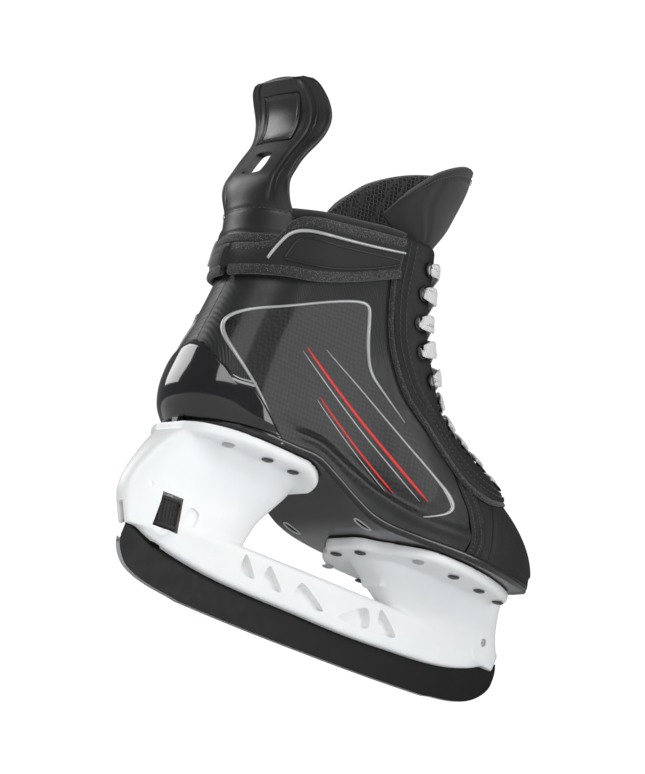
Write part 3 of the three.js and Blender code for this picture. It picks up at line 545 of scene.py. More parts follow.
def knit_binding():
    """Black stretch knit with pale flecks."""
    paint = Paint("knit_binding", Sheen_Weight=0.3)
    loops = paint.cells((1500, 1500, 1500))
    flecks = paint.maths("MULTIPLY", paint.ramp(loops, [(0.1, 1.0), (0.42, 0.0)]), paint.noise(900, 2))
    paint.feed("Base Color", paint.ramp(flecks, [(0.28, 0.018), (0.5, 0.3)]))
    paint.feed("Roughness", paint.ramp(loops, [(0.0, 0.72), (0.6, 0.95)]))
    paint.bump(paint.ramp(loops, [(0.0, 1.0), (0.6, 0.0)]), 0.35)
    return paint.done()


def cloth(name, dark, light, threads, rough=0.86, depth=0.16, sheen=0.25):
    """A plain woven cloth: threads for each metre, over and under one another."""
    paint = Paint(name, Sheen_Weight=sheen)
    warp, weft = paint.waves((threads, 0, 0)), paint.waves((threads, 0, 0), (0, 90, 0))
    across = paint.waves((threads, 0, 0), (0, 0, 90))
    weave = paint.maths("MULTIPLY", paint.maths("MAXIMUM", warp, across), weft)
    paint.feed("Base Color", paint.between(paint.maths("MULTIPLY", weave, paint.noise(190, 3)), dark, light))
    paint.feed("Roughness", paint.ramp(weave, [(0.0, min(rough * 1.08, 1.0)), (1.0, rough * 0.92)]))
    paint.bump(weave, depth)
    return paint.done()


def mesh_lining():
    """Brushed lining with a raised honeycomb."""
    paint = Paint("mesh_lining", Sheen_Weight=0.4)
    combs = paint.cells((420, 420, 420), "DISTANCE_TO_EDGE", random=0.25)
    wall = paint.ramp(combs, [(0.03, 1.0), (0.16, 0.0)])
    paint.feed("Base Color", paint.between(wall, (0.01, 0.01, 0.0105), (0.05, 0.05, 0.052)))
    paint.feed("Roughness", paint.ramp(wall, [(0.0, 0.95), (1.0, 0.6)]))
    paint.bump(wall, 0.35)
    return paint.done()


def rubber(name="toe_skin", dark=(0.009, 0.009, 0.0095), light=(0.021, 0.021, 0.022)):
    paint = Paint(name, Specular_IOR_Level=0.3)
    grain = paint.cells(1300)
    paint.feed("Base Color", paint.between(paint.noise(80, 4), dark, light))
    paint.feed("Roughness", paint.ramp(paint.noise(500, 3), [(0.3, 0.5), (0.7, 0.66)]))
    paint.bump(paint.maths("ADD", grain, paint.noise(2600, 2)), 0.06)
    return paint.done()


def steel(name, dark, light, rough, along=(40, 2400, 2400), metal=1.0):
    """Ground metal, its grinding marks along X."""
    paint = Paint(name, Metallic=metal)
    marks = paint.noise(along, 4, 0.7)
    paint.feed("Base Color", paint.between(marks, dark, light))
    paint.feed("Roughness", paint.ramp(marks, [(0.25, rough * 0.8), (0.75, rough * 1.25)]))
    paint.bump(marks, 0.01)
    return paint.done()


def lace_cloth():
    """Flat white braid with a few dark tracer threads."""
    paint = Paint("lace_braid", Sheen_Weight=0.2)
    rib = paint.waves((1500, 0, 0), (0, 38, 0))
    cross = paint.waves((1500, 0, 0), (0, -52, 0))
    braid = paint.maths("MULTIPLY", rib, cross)
    tracer = paint.ramp(paint.noise((120, 420, 900), 2), [(0.6, 0.0), (0.64, 1.0)])
    base = paint.between(braid, (0.62, 0.62, 0.61), (0.9, 0.9, 0.88))
    dark = paint.maths("MULTIPLY", tracer, paint.ramp(cross, [(0.55, 0.0), (0.75, 1.0)]))
    paint.feed("Base Color", paint.between(dark, base, (0.07, 0.07, 0.07)))
    paint.feed("Roughness", paint.ramp(braid, [(0.0, 0.95), (1.0, 0.78)]))
    paint.bump(braid, 0.22)
    return paint.done()


def knurled():
    """Wheel plastic with fine pips."""
    paint = Paint("wheel_grip", Specular_IOR_Level=0.5)
    pips = paint.ramp(paint.cells(1100, random=0.2), [(0.1, 1.0), (0.5, 0.0)])
    paint.feed("Base Color", paint.between(pips, (0.012, 0.012, 0.012), (0.06, 0.06, 0.062)))
    paint.feed("Roughness", paint.ramp(pips, [(0.0, 0.62), (1.0, 0.4)]))
    paint.bump(pips, 0.25)
    return paint.done()


WHITE = plain("white_nylon", (0.84, 0.845, 0.85), (0.89, 0.895, 0.9), 0.36, 90, 2200, 0.02,
              Subsurface_Weight=0.05)
GLOSS = plain("gloss_black", (0.008, 0.008, 0.009), (0.016, 0.016, 0.017), 0.1, 60, 900, 0.006,
              Coat_Weight=0.6)
BADGE = plain("badge_plate", (0.012, 0.012, 0.013), (0.024, 0.024, 0.025), 0.3, 60, 900, 0.01)
SATIN = plain("satin_black", (0.009, 0.009, 0.0095), (0.02, 0.02, 0.021), 0.34, 60, 1500, 0.02)
GUARD = plain("guard_plastic", (0.009, 0.009, 0.0095), (0.018, 0.018, 0.019), 0.4, 70, 2400, 0.05)
COMPOSITE = plain("sole_composite", (0.01, 0.01, 0.011), (0.022, 0.022, 0.023), 0.2, 80, 1100, 0.02,
                  Coat_Weight=0.3)
SILVER = plain("silver_trim", (0.36, 0.365, 0.37), (0.5, 0.505, 0.51), 0.34, 120, 2000, 0.01, Metallic=0.35)
RED = plain("red_trim", (0.62, 0.008, 0.008), (0.78, 0.014, 0.012), 0.4, 120, 2000, 0.01)
RIBBED = ribbed_shell()
CARBON = carbon_weave()
KNIT = knit_binding()
LINING = mesh_lining()
BRAID = lace_cloth()
CUFF_CLOTH = cloth("cuff_cloth", (0.01, 0.01, 0.0105), (0.032, 0.032, 0.033), 1500)
COLLAR_CLOTH = cloth("collar_cloth", (0.011, 0.011, 0.0115), (0.034, 0.034, 0.035), 2100, 0.9)
TONGUE_CLOTH = cloth("tongue_cloth", (0.009, 0.009, 0.0095), (0.03, 0.03, 0.031), 1700)
FELT = cloth("liner_felt", (0.03, 0.03, 0.031), (0.09, 0.09, 0.093), 900, 0.95, 0.1, 0.6)
FOAM = cloth("footbed_cover", (0.035, 0.035, 0.037), (0.11, 0.11, 0.115), 1100, 0.92)
RUBBER = rubber()
EYESTAY = rubber("eyestay_skin", (0.008, 0.008, 0.0085), (0.018, 0.018, 0.019))
THREAD = cloth("thread", (0.05, 0.05, 0.052), (0.14, 0.14, 0.145), 3000, 0.8, 0.05)
BLACK_STEEL = plain("coated_steel", (0.003, 0.003, 0.0035), (0.006, 0.006, 0.0065), 0.34, 70, 1500, 0.008,
                    Specular_IOR_Level=0.15)
BRIGHT_STEEL = steel("bright_steel", (0.42, 0.43, 0.44), (0.66, 0.67, 0.68), 0.24)
RIVET_METAL = steel("rivet_metal", (0.06, 0.06, 0.065), (0.14, 0.14, 0.15), 0.36, (900, 900, 900))
EYELET_METAL = steel("eyelet_metal", (0.03, 0.03, 0.032), (0.08, 0.08, 0.085), 0.4, (900, 900, 900), 0.8)
GRIP = knurled()

# ---- Upper

PIPING = [
    (-70, 91, 0.9), (-78, 98, 1.2), (-96, 116, 1.5), (-104.5, 128, 2.1), (-108.5, 139, 2.5),
    (-106.5, 149.5, 2.5),
    (-99, 156, 1.7), (-83, 162, 1.4), (-53, 175, 1.5), (-34, 182, 1.6), (-25.5, 182.5, 2.2), (-24, 176, 2.7),
    (-22.5, 162, 2.5), (-18.5, 147.5, 2.0), (-9, 140, 1.2), (8, 127, 0.5),
]
PANEL = [(x, z) for x, z, _ in PIPING] + [(42, 99), (22, 79), (-10, 84), (-45, 96)]
COUNTER_EDGE = [(-112.6, 135.5), (-113.2, 132), (-111.4, 124), (-106, 114.6), (-95.5, 113.6)]


def inside(x, z, outline):
    """Which points of the side view lie inside an outline."""
    outline = np.asarray(outline, float)
    odd = np.zeros(np.shape(x), bool)
    for (x0, z0), (x1, z1) in zip(outline, np.roll(outline, -1, axis=0)):
        if z0 != z1:
            odd ^= ((z0 > z) != (z1 > z)) & (x < x0 + (z - z0) * (x1 - x0) / (z1 - z0))
    return odd


def along_layer(s, turn=0.36):
    """How far along a layer a column lies: close together round the heel, even after it."""
    rate = 1 / (2 * turn - turn * turn)
    return np.where(s < turn, rate * s * s, rate * (turn * turn + 2 * turn * (s - turn)))


def patch(low, high, front, inset, rows, columns, foot=1.0):
    """Side-view points of a four-sided layer from the back of the heel to its front edge.
    low and high give height for x, front gives (x, z) for 0 to 1."""
    t = (np.linspace(0, 1, rows + 1) ** foot)[:, None]
    s = np.linspace(0, 1, columns + 1)[None, :]
    k = along_layer(s)
    front_line = front(t[:, 0])
    low_z, high_z = low(back_at(low(-110.0))), high(back_at(high(-100.0)))
    rear_z = lerp(low_z, high_z, t[:, 0])
    rear_line = np.stack([back_at(rear_z) + inset, rear_z], -1)

    def edge(curve, start, end):
        x = lerp(start[0], end[0], k[0])
        z = curve(x) + lerp(start[1] - curve(start[0]), end[1] - curve(end[0]), s[0])
        return np.stack([x, z], -1)

    bottom, top = edge(low, rear_line[0], front_line[0]), edge(high, rear_line[-1], front_line[-1])
    tt, kk = t[..., None], k[..., None]
    level = lerp(bottom[None], top[None], tt)
    upright = lerp(rear_line[:, None], front_line[:, None], kk)
    corner_rear = lerp(rear_line[0], rear_line[-1], t)[:, None]
    corner_front = lerp(front_line[0], front_line[-1], t)[:, None]
    return level + upright - lerp(corner_rear, corner_front, kk)


def both_sides(place, inset):
    """A layer's points from its outer front edge round the heel to its inner front edge."""
    halves = [skin(place[..., 0], place[..., 1], side, inset) for side in SIDES]
    return np.concatenate([halves[0][:, ::-1], halves[1][:, 1:]], 1)


def upper_foot(x):
    return sole_at(x) + RIM


def shell_top(x):
    return collar_at(x) - 2


def quarter_front(t):
    point = QUARTER_FRONT(t)
    return np.stack([point[..., 0], np.maximum(point[..., 1], upper_foot(point[..., 0]))], -1)


def quarter_relief(x, z):
    """The panel inside the piping stands in a shallow recess, and a soft crease runs along the arch."""
    crease = spline([(-75, 97), (-45, 99), (-20, 91), (0, 84), (30, 79), (60, 79)])(x)
    roll = 0.9 * np.exp(-(((z - crease) / 3.2) ** 2)) * ease((x + 80) / 30)
    hollow = 0.7 * np.exp(-(((z - crease - 6.5) / 3.6) ** 2)) * ease((x + 80) / 30)
    return roll - hollow


def quarter(side):
    rows, columns = 96, 120
    place = patch(upper_foot, shell_top, quarter_front, 0, rows, columns, 1.25)
    x, z = place[..., 0], place[..., 1]
    lift = quarter_relief(x, z) * ease((z - upper_foot(x)) / 6)
    outer, inner = skin(x, z, side, -lift), skin(x, z, side, SHELL_WALL)
    part = np.array([0, SIDES[side] * 0.18, 0])
    middle = 0.25 * (place[:-1, :-1] + place[1:, :-1] + place[:-1, 1:] + place[1:, 1:])
    woven = inside(middle[..., 0], middle[..., 1], chaikin(PANEL, 2)).ravel()
    back = [2] * (rows * columns)
    sheet(f"boot_quarter_{side}", outer + part, inner + part, [RIBBED, CARBON, SATIN],
          kinds=[*woven.astype(int), *back], slot="carbon_shell", replaced=[f"quarter_{side}"])
    trim("panel_piping", PIPING, side, 0.15, 0.75, SILVER, "gloss_shell")
    line = [(-50, 149, 0.5), (-23, 136.5, 0.9), (6, 119, 1.1), (36, 102.5, 1.5), (43, 98, 3.2),
            (47.5, 92.5, 3.2), (45, 88, 1.6), (36, 83.5, 1.0), (20, 78, 0.5)]
    trim("arrow_piping", line, side, 0.1, 0.6, SILVER, "gloss_shell", rounds=2)


def accent_stripes(side):
    """Plain parallel stripes across the panel."""
    for n, (start, end, wide, finish) in enumerate([
        ((-64, 146), (30, 90), 1.9, RED), ((-66.5, 143), (25, 88.5), 0.8, SILVER),
        ((-50, 123), (8, 88), 1.3, RED), ((-51.5, 121), (3, 87.5), 0.6, SILVER),
    ]):
        line = [(*lerp(np.array(start, float), np.array(end, float), t), wide * w)
                for t, w in ((0, 0.3), (0.08, 1), (0.5, 1), (0.92, 1), (1, 0.3))]
        trim(f"accent_stripe_{n + 1}", line, side, 0.05, 0.3, finish, "gloss_shell", rounds=1)


def heel_counter():
    edge = route(COUNTER_EDGE)
    columns, rows = 72, 44
    s = np.linspace(0, 1, columns + 1)
    top = edge(s)
    foot_x = lerp(back_at(93.8), -71.5, along_layer(s))
    foot = np.stack([foot_x, upper_foot(foot_x)], -1)
    t = np.linspace(0, 1, rows + 1)[:, None, None] ** 1.2
    place = lerp(foot[None], top[None], t)
    rear = back_at(place[..., 1])
    stay = (1 - s[None]) ** 12
    place[..., 0] = lerp(place[..., 0], rear, stay)
    swell = 1.3 * ease(t[..., 0] / 0.25) * ease((1 - t[..., 0]) / 0.12) * ease((1 - s[None]) / 0.08)
    outer = both_sides(place, 0)
    lifts = np.concatenate([swell[:, ::-1], swell[:, 1:]], 1)
    normals = unit(np.cross(np.gradient(outer, axis=0), np.gradient(outer, axis=1)))
    normals *= np.sign(np.sum(normals * (outer - [-70, 0, 115])))
    for _ in range(8):
        normals[:, 1:-1] = unit(normals[:, :-2] + 2 * normals[:, 1:-1] + normals[:, 2:])
    sheet("heel_counter_shell", outer + normals * (1.15 + lifts)[..., None], outer + normals * 0.5, [GLOSS],
          edge_cells=2, slot="gloss_shell", replaced=["heel_counter"])
    for side, sign in SIDES.items():
        far = outer[-1, :, 1] * sign > 3
        rim, out = outer[-1, far], normals[-1, far]
        for n, (rise, wide) in enumerate(((0.3, 0.8), (3.0, 0.6))):
            line = rim + out * (1.6 - 0.45 * rise) + [0.5 * rise, 0, 0.8 * rise]
            loft(f"counter_edge_{n + 1}_{side}", sweep_loops(line, out, oval(10, wide, 0.6, 0.8)), [SILVER],
                 slot="gloss_shell", sharp=60)


CUFF_FRONT = -12.6
CUFF_LIFT = 4.2
cuff_top = spline([
    (-103, 190), (-96, 190.5), (-90, 195), (-85, 205), (-80, 209), (-60, 213), (-37, 217), (-12, 220.5),
])
cuff_low = spline([(-102, 178), (-86, 180.5), (-70, 183), (-46, 191), (-12, 205)])


def cuff_edge(t):
    return np.stack([np.full_like(t, CUFF_FRONT), lerp(cuff_low(CUFF_FRONT), cuff_top(CUFF_FRONT), t)], -1)


def edge_band(name, height, lift, wide, thick, finish, side, start=None, end=CUFF_FRONT,
              slot="cuff_textile"):
    """A rounded band along a level line of the upper, from the back of the heel to its front edge."""
    s = along_layer(np.linspace(0, 1, 90))
    rear = back_at(height(-99.0)) - lift * 0.995 if start is None else start
    x = lerp(rear, end, s)
    z = height(x)
    line = skin(x, z, side, -lift)
    out = skin_normal(np.maximum(x, back_at(z) + 0.5), z, side)
    loops = sweep_loops(line, out, oval(12, wide / 2, thick / 2, 0.75))
    return loft(f"{name}_{side}", loops, [finish], slot=slot, sharp=60)


def cuff():
    place = patch(cuff_low, cuff_top, cuff_edge, -CUFF_LIFT, 40, 100)
    x, z = place[..., 0], place[..., 1]
    share = np.clip((z - cuff_low(x)) / (cuff_top(x) - cuff_low(x)), 0, 1)
    puff = 1.6 * np.sin(np.pi * share) ** 0.8
    outer = both_sides(place, 0)
    lifts = np.concatenate([puff[:, ::-1], puff[:, 1:]], 1)[..., None]
    normals = np.concatenate([skin_normal(np.maximum(x, back_at(z) + 0.4), z, side)[:, ::d][:, o:]
                              for side, d, o in (("lateral", -1, 0), ("medial", 1, 1))], 1)
    sheet("cuff_panel", outer + normals * (CUFF_LIFT + lifts), outer + normals * (CUFF_LIFT - 0.9),
          [CUFF_CLOTH], edge_cells=2, slot="cuff_textile", replaced=["cuff"])
    frame_line = [(-95, 185, 1.4), (-92.5, 192, 1.7), (-88, 201.5, 2.0), (-80, 205, 2.0), (-66, 206.5, 1.8),
                  (-30, 212.5, 1.6), (-13.5, 215.5, 1.3)]
    for side in SIDES:
        edge_band("cuff_binding_low", lambda x: cuff_low(x) + 0.4, 3.4, 6.4, 3.6, KNIT, side)
        edge_band("cuff_binding_top", lambda x: cuff_top(x) + 0.6, 3.6, 6.2, 3.6, KNIT, side)
        trim("cuff_piping", frame_line, side, 6.0, 0.9, SILVER, "cuff_textile")
        corners = [(-88, 187.5), (-84, 199), (-78, 201.5), (-64, 202.5), (-30, 208.5), (-15, 211), (-15, 208),
                   (-44, 195.5), (-70, 187.5), (-88, 186.5)]
        inner_line = [(x, z, 0.9) for x, z in corners]
        trim("cuff_panel_welt", inner_line, side, 5.5, 0.8, SATIN, "cuff_textile")


def collar():
    """The padded roll round the ankle opening, over the top of the shell."""
    for side in SIDES:
        s = along_layer(np.linspace(0, 1, 110))
        x = lerp(-99.0 + 2.5, -10.0, s)
        z = collar_at(x) - 4.2
        normal = skin_normal(np.maximum(x, back_at(z) + 0.5), z, side)
        line = skin(x, z, side, 3.2)
        loops = sweep_loops(line, normal, oval(24, 5.2, 5.4, 0.85))
        loft(f"collar_roll_{side}", loops, [COLLAR_CLOTH], slot="liner_felt", sharp=70)
        seam = skin(x, z + 3.2, side, -1.0)
        stitches(f"collar_stitch_{side}", seam[6:-4], normal[6:-4], THREAD, "liner_felt")


def facing_point(t, s):
    return lerp(FACING_SEAM(t), FACING(t), np.asarray(s)[..., None])


def eyelet_places(side):
    """The eyelets' centres and outward directions, read from the frame."""
    spots = []
    for n in range(1, 11):
        low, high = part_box(f"eyelet_{side}_{n}")
        centre = np.array((low + high) / 2) / MM
        spots.append((centre, skin_normal(centre[0], centre[2], side)))
    return spots


def eyestay(side):
    t, s = np.meshgrid(np.linspace(0, 1, 131), np.linspace(0, 1, 25), indexing="ij")
    place = facing_point(t, s)
    x, z = place[..., 0], place[..., 1]
    normal = skin_normal(x, z, side)
    base = skin(x, z, side)
    puff = 0.9 * np.sin(np.pi * s) ** 0.6
    holes = eyelet_places(side)
    for centre, _ in holes:
        away = np.linalg.norm(base - centre, axis=-1)
        puff = puff - 0.9 * np.exp(-((np.maximum(away - 4.6, 0) / 1.5) ** 2))
    seam = 0.7 * np.exp(-(((s - 0.2) / 0.035) ** 2))
    outer = base + normal * (SKIN_GAP + 2.4 + np.clip(puff, -0.6, 1) - seam)[..., None]
    inner = base + normal * (SKIN_GAP - 0.1)
    piece = sheet(f"eyestay_skin_{side}", outer, inner, [EYESTAY, SATIN], edge_cells=2,
                  slot="eyestay_textile", replaced=[f"eyestay_{side}"])
    cutters = [lathe([(0, -9), (3.0, -9), (3.0, 9), (0, 9)], 24, c, n) for c, n in holes]
    carve(piece, cutters)
    smooth(piece.data, 45)
    for n, share in enumerate((0.12, 0.3)):
        row = facing_point(np.linspace(0.02, 0.98, 160), share)
        rx, rz = row[:, 0], row[:, 1]
        out = skin_normal(rx, rz, side)
        stitches(f"eyestay_stitch_{n + 1}_{side}", skin(rx, rz, side) + out * (SKIN_GAP + 3.1), out, THREAD,
                 "eyestay_textile")
    row = facing_point(np.linspace(0, 1, 140), -0.02)
    rx, rz = row[:, 0], row[:, 1]
    out = skin_normal(rx, rz, side)
    loops = sweep_loops(skin(rx, rz, side) + out * 1.3, out, oval(10, 1.9, 1.3, 0.8))
    loft(f"eyestay_welt_{side}", loops, [KNIT], slot="eyestay_textile", sharp=60)


def eyelets(side):
    profile = [(2.1, -3.0), (2.75, -3.0), (2.75, -0.1), (3.5, 0.0), (3.95, 0.2), (4.0, 0.45), (3.7, 0.75),
               (3.0, 0.85), (2.35, 0.6), (2.1, 0.1), (2.1, -3.0)]
    for n, (centre, normal) in enumerate(eyelet_places(side)):
        points, faces = lathe(profile, 32, centre + normal * 0.9, normal)
        make_piece(f"eyelet_ring_{side}_{n + 1}", points, faces, [EYELET_METAL], slot="eyelet_metal",
                   replaced=[f"eyelet_{side}_{n + 1}"], sharp=50)


TOE_PANEL = 78.5


def toe_relief(x, z):
    """Raised rope seam by the quarter, a second ridge ahead of it, and the toe panel's sunken outline."""
    seam = np.interp(z, [66, 71, 79, 92, 105, 121], [61.5, 63.0, 64.5, 62.0, 55.5, 48])
    ridge = 0.9 * np.exp(-(((x - seam - 2.5) / 1.3) ** 2)) + 0.5 * np.exp(-(((x - seam - 7.5) / 1.2) ** 2))
    low = spline([(78, 75.5), (92, 73.5), (110, 73), (130, 76), (148, 82)])(x)
    panel = ease((x - TOE_PANEL) / 1.4) * ease((z - low) / 1.6)
    return ridge + 1.0 * panel


def facing_height(x):
    """Height of the lacing edge over a point of the toe."""
    t = np.linspace(0, 1, 400)
    edge = FACING(t)
    return np.interp(x, edge[:, 0], edge[:, 1])


def vamp(side):
    s, t = np.meshgrid(np.linspace(0, 1, 46), np.linspace(0, 1, 60), indexing="ij")
    seam = QUARTER_FRONT(0.4 * t)
    front_top = facing_height(TOE_PANEL) - 7
    x = lerp(seam[..., 0] + SEAM_GAP, TOE_PANEL, s)
    z = lerp(seam[..., 1], lerp(sole_at(TOE_PANEL) + RIM, front_top, t), s)
    z = np.maximum(z, upper_foot(x))
    sheet(f"vamp_side_{side}", skin(x, z, side, -toe_relief(x, z)), skin(x, z, side, 3), [RUBBER, SATIN],
          slot="toe_rubber", replaced=[f"vamp_{side}"])
    seam = QUARTER_FRONT(np.linspace(0.01, 0.36, 60))
    x, z = seam[:, 0] + 3.6, seam[:, 1]
    for n, ahead in enumerate((0.0, 5.0)):
        out = skin_normal(x + ahead, z, side)
        line = skin(x + ahead, z, side, -toe_relief(x + ahead, z))
        stitches(f"vamp_stitch_{n + 1}_{side}", line, out, THREAD, "toe_rubber", pitch=2.2,
                 size=(1.6, 0.7, 0.45))


def toe_cap():
    rows, columns = 70, 132
    s, c = np.meshgrid(np.linspace(0, 1, rows + 1), np.linspace(0, 1, columns + 1), indexing="ij")

    def grid(inset, lifted):
        tip = TOE_TIP - inset
        x = TOE_PANEL + 0.25 + (tip - TOE_PANEL - 0.25) * np.sin(s * np.pi / 2)
        floor = sole_at(x)
        crown = np.maximum(np.cos((c - 0.5) * np.pi), 0) ** (2 / 2.6)
        z = np.maximum(floor + (ridge_at(x) - floor - inset) * crown, floor + RIM)
        lift = toe_relief(x, z) * (1 - ease((s - 0.86) / 0.14)) if lifted else 0
        halves = [skin(x, z, side, inset - lift) for side in SIDES]
        return np.where((c < 0.5)[..., None], halves[0], halves[1])

    piece = sheet("toe_cap_skin", grid(0, True), grid(3, False), [RUBBER, SATIN], slot="toe_rubber",
                  replaced=["toe_cap"])
    half = [(60, -17), (94, -15), (98, -14), (101, -11.5), (102.6, -7), (103, 0)]
    throat = half + [(x, -y) for x, y in half[-2::-1]]
    carve(piece, [prism(throat, "z", 90, 160)], "EXACT")
    smooth(piece.data, 40)


def outsole():
    """The plate under the foot, with a bead round its edge and vent slots in the arch."""
    parts = np.linspace(-116.8, -100, 24), np.linspace(-100, 120, 150), np.linspace(120, 146.6, 34)
    x = np.unique(np.concatenate(parts))
    z = sole_at(x)
    loops = []
    section = [(-1.0, 1.15), (-0.97, 0.1), (-0.8, 0.0), (-0.4, 0.12), (0, 0.2), (0.4, 0.12), (0.8, 0.0),
               (0.97, 0.1), (1.0, 1.15), (0.99, 2.5), (0, 2.5), (-0.99, 2.5)]
    wide = {side: np.maximum(half_width(x, z, side, 0.1), 2) for side in SIDES}
    for k in range(len(x)):
        loops.append([(x[k], share * wide["lateral" if share < 0 else "medial"][k], z[k] + up)
                      for share, up in section])
    piece = loft("sole_plate", loops, [COMPOSITE], slot="composite", replaced=["outsole"])
    slot = round_outline([(-3, 24.5), (9, 24.5), (9, 28.5), (-3, 28.5)], 0.25, 2)
    slots = [prism([(u, sign * v) for u, v in slot], "z", 66, 80) for sign in (-1, 1)]
    carve(piece, slots)
    smooth(piece.data, 35)
    for sign, side in ((-1, "lateral"), (1, "medial")):
        rim = np.array([(u, sign * v, sole_at(u) - 0.1) for u, v in slot])
        ring = np.concatenate([rim, rim[:1]])
        loops = sweep_loops(ring, np.tile([0, 0, -1.0], (len(ring), 1)), oval(8, 0.55, 0.5))
        loft(f"vent_rim_{side}", loops, [SILVER], slot="composite")
        edge = lerp(back_at(sole_at(-110.0)) + 0.02, 128, along_layer(np.linspace(0, 1, 240)))
        y = sign * (half_width(edge, sole_at(edge), side, 0) + 0.3)
        line = np.stack([edge, y, sole_at(edge) + 2.4], -1)
        out = unit(skin_normal(np.maximum(edge, back_at(line[:, 2]) + 0.5), line[:, 2], side) * [1, 1, 0])
        loft(f"sole_bead_{side}", sweep_loops(line, out, oval(10, 1.35, 0.9)), [COMPOSITE], slot="composite")


def footbed():
    low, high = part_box("footbed")
    x = np.linspace(low[0] / MM + 0.3, high[0] / MM - 0.3, 120)
    thick = 4.0
    inset = SHELL_WALL + SKIN_GAP
    loops = []
    for at in x:
        z = sole_at(at) + RIM
        left, right = (max(float(half_width(at, z, side, inset)), 2.0) - 0.2 for side in SIDES)
        angle = np.linspace(0, np.pi, 15)
        middle, half = (right - left) / 2, (right + left) / 2
        rise = z + 1.2 + (thick - 1.4) * np.sin(angle) ** 0.35 - 1.1 * np.sin(angle) ** 4
        top = [(at, middle + half * np.cos(a), up) for a, up in zip(angle, rise)]
        loops.append([(at, -left, z + 0.15), (at, right, z + 0.15), *top])
    piece = loft("footbed_pad", loops, [FOAM], slot="footbed_foam", replaced=["footbed"])


def liner():
    foot = lambda x: sole_at(x) + RIM + 4 + SEAM_GAP

    def front(t):
        point = QUARTER_FRONT(0.06 + 0.94 * t)
        x = point[..., 0] - 3
        return np.stack([x, np.maximum(point[..., 1], foot(x))], -1)

    place = patch(foot, lambda x: collar_at(x) - 6.5, front, 4.5, 84, 84)
    x, z = place[..., 0], place[..., 1]
    top = ease((collar_at(x) - z - 5) / 8)
    channels = np.minimum(np.abs(np.sin((x + 0.35 * z) * np.pi / 17)) * 2.2, 1)
    pad = 1.5 * np.exp(-(((x + 58) / 26) ** 2) - (((z - 168) / 26) ** 2)) * channels + 0.8 * top
    back = both_sides(place, 4.5)
    mid = both_sides(place, 7.0)
    inward = unit(mid - back)
    lifts = np.concatenate([pad[:, ::-1], pad[:, 1:]], 1)[..., None]
    piece = sheet("ankle_liner", back + inward * 0.2, back + inward * (LINER_THICK - 1.2 + lifts),
                  [SATIN, FELT], edge_cells=2, slot="liner_felt", replaced=["liner"])


for side in SIDES:
    quarter(side)
    accent_stripes(side)
    eyestay(side)
    eyelets(side)
    vamp(side)
heel_counter()
cuff()
collar()
toe_cap()
outsole()
footbed()
liner()

# ---- Tongue: one padded form, sitting in the boot below the collar and bent forward above it

TONGUE_LINE = route([
    (94, 113), (80, 122.5), (66, 130), (52, 138.5), (41, 149), (32, 160), (26, 174), (24, 190), (24.5, 206),
    (25, 222),
])
TONGUE_FRONT = spline([(222, 25.5), (235, 33.5), (250, 44), (265, 51), (280, 56), (291, 58)])
TONGUE_TOP = spline([(-32, 231), (-19, 241), (-8, 254), (2, 264), (12, 273), (33, 285), (50, 290), (58, 289)])
TONGUE_HALF = spline([(0, 17), (0.3, 24), (0.6, 27), (1, 24)])
TONGUE_DEPTH = spline([(0, 7), (0.3, 12), (0.6, 20), (1, 26)])
FREE_HALF = spline([(222, 24.2), (232, 26.5), (250, 29.5), (291, 30)])
TONGUE_THICK = 6


def tongue_point(t, angle, inset):
    """A point of the laced part: t runs up it, the angle turns round it from its middle."""
    at = TONGUE_LINE(t)
    ahead, behind = TONGUE_LINE(np.minimum(t + 0.01, 1)), TONGUE_LINE(np.maximum(t - 0.01, 0))
    way = unit(ahead - behind)
    back = (TONGUE_DEPTH(t) - inset / 2) * (1 - np.cos(angle)) + inset
    y = (TONGUE_HALF(t) - 0.8 * inset) * np.sin(angle)
    return np.stack([at[..., 0] - way[..., 1] * back, y, at[..., 1] + way[..., 0] * back], -1)


def free_point(u, angle, inset):
    """A point of the part above the collar, which widens round the shin."""
    foot = tongue_point(np.ones_like(u), angle, inset)
    wrap = lerp(26 - inset / 2, 56 - inset, ease((u - 0.12) / 0.5))
    back = wrap * (1 - np.cos(angle)) + inset
    full = (56 - inset) * (1 - np.cos(angle)) + inset
    top = np.full_like(u, 270.0)
    for _ in range(24):
        top = lerp(top, TONGUE_TOP(TONGUE_FRONT(top) - full), 0.5)
    z = lerp(foot[..., 2], top, u)
    y = (FREE_HALF(z) - lerp(0.8, 1.0, u) * inset) * np.sin(angle)
    return np.stack([TONGUE_FRONT(z) - back - 0.5 * (1 - u), y, z], -1)


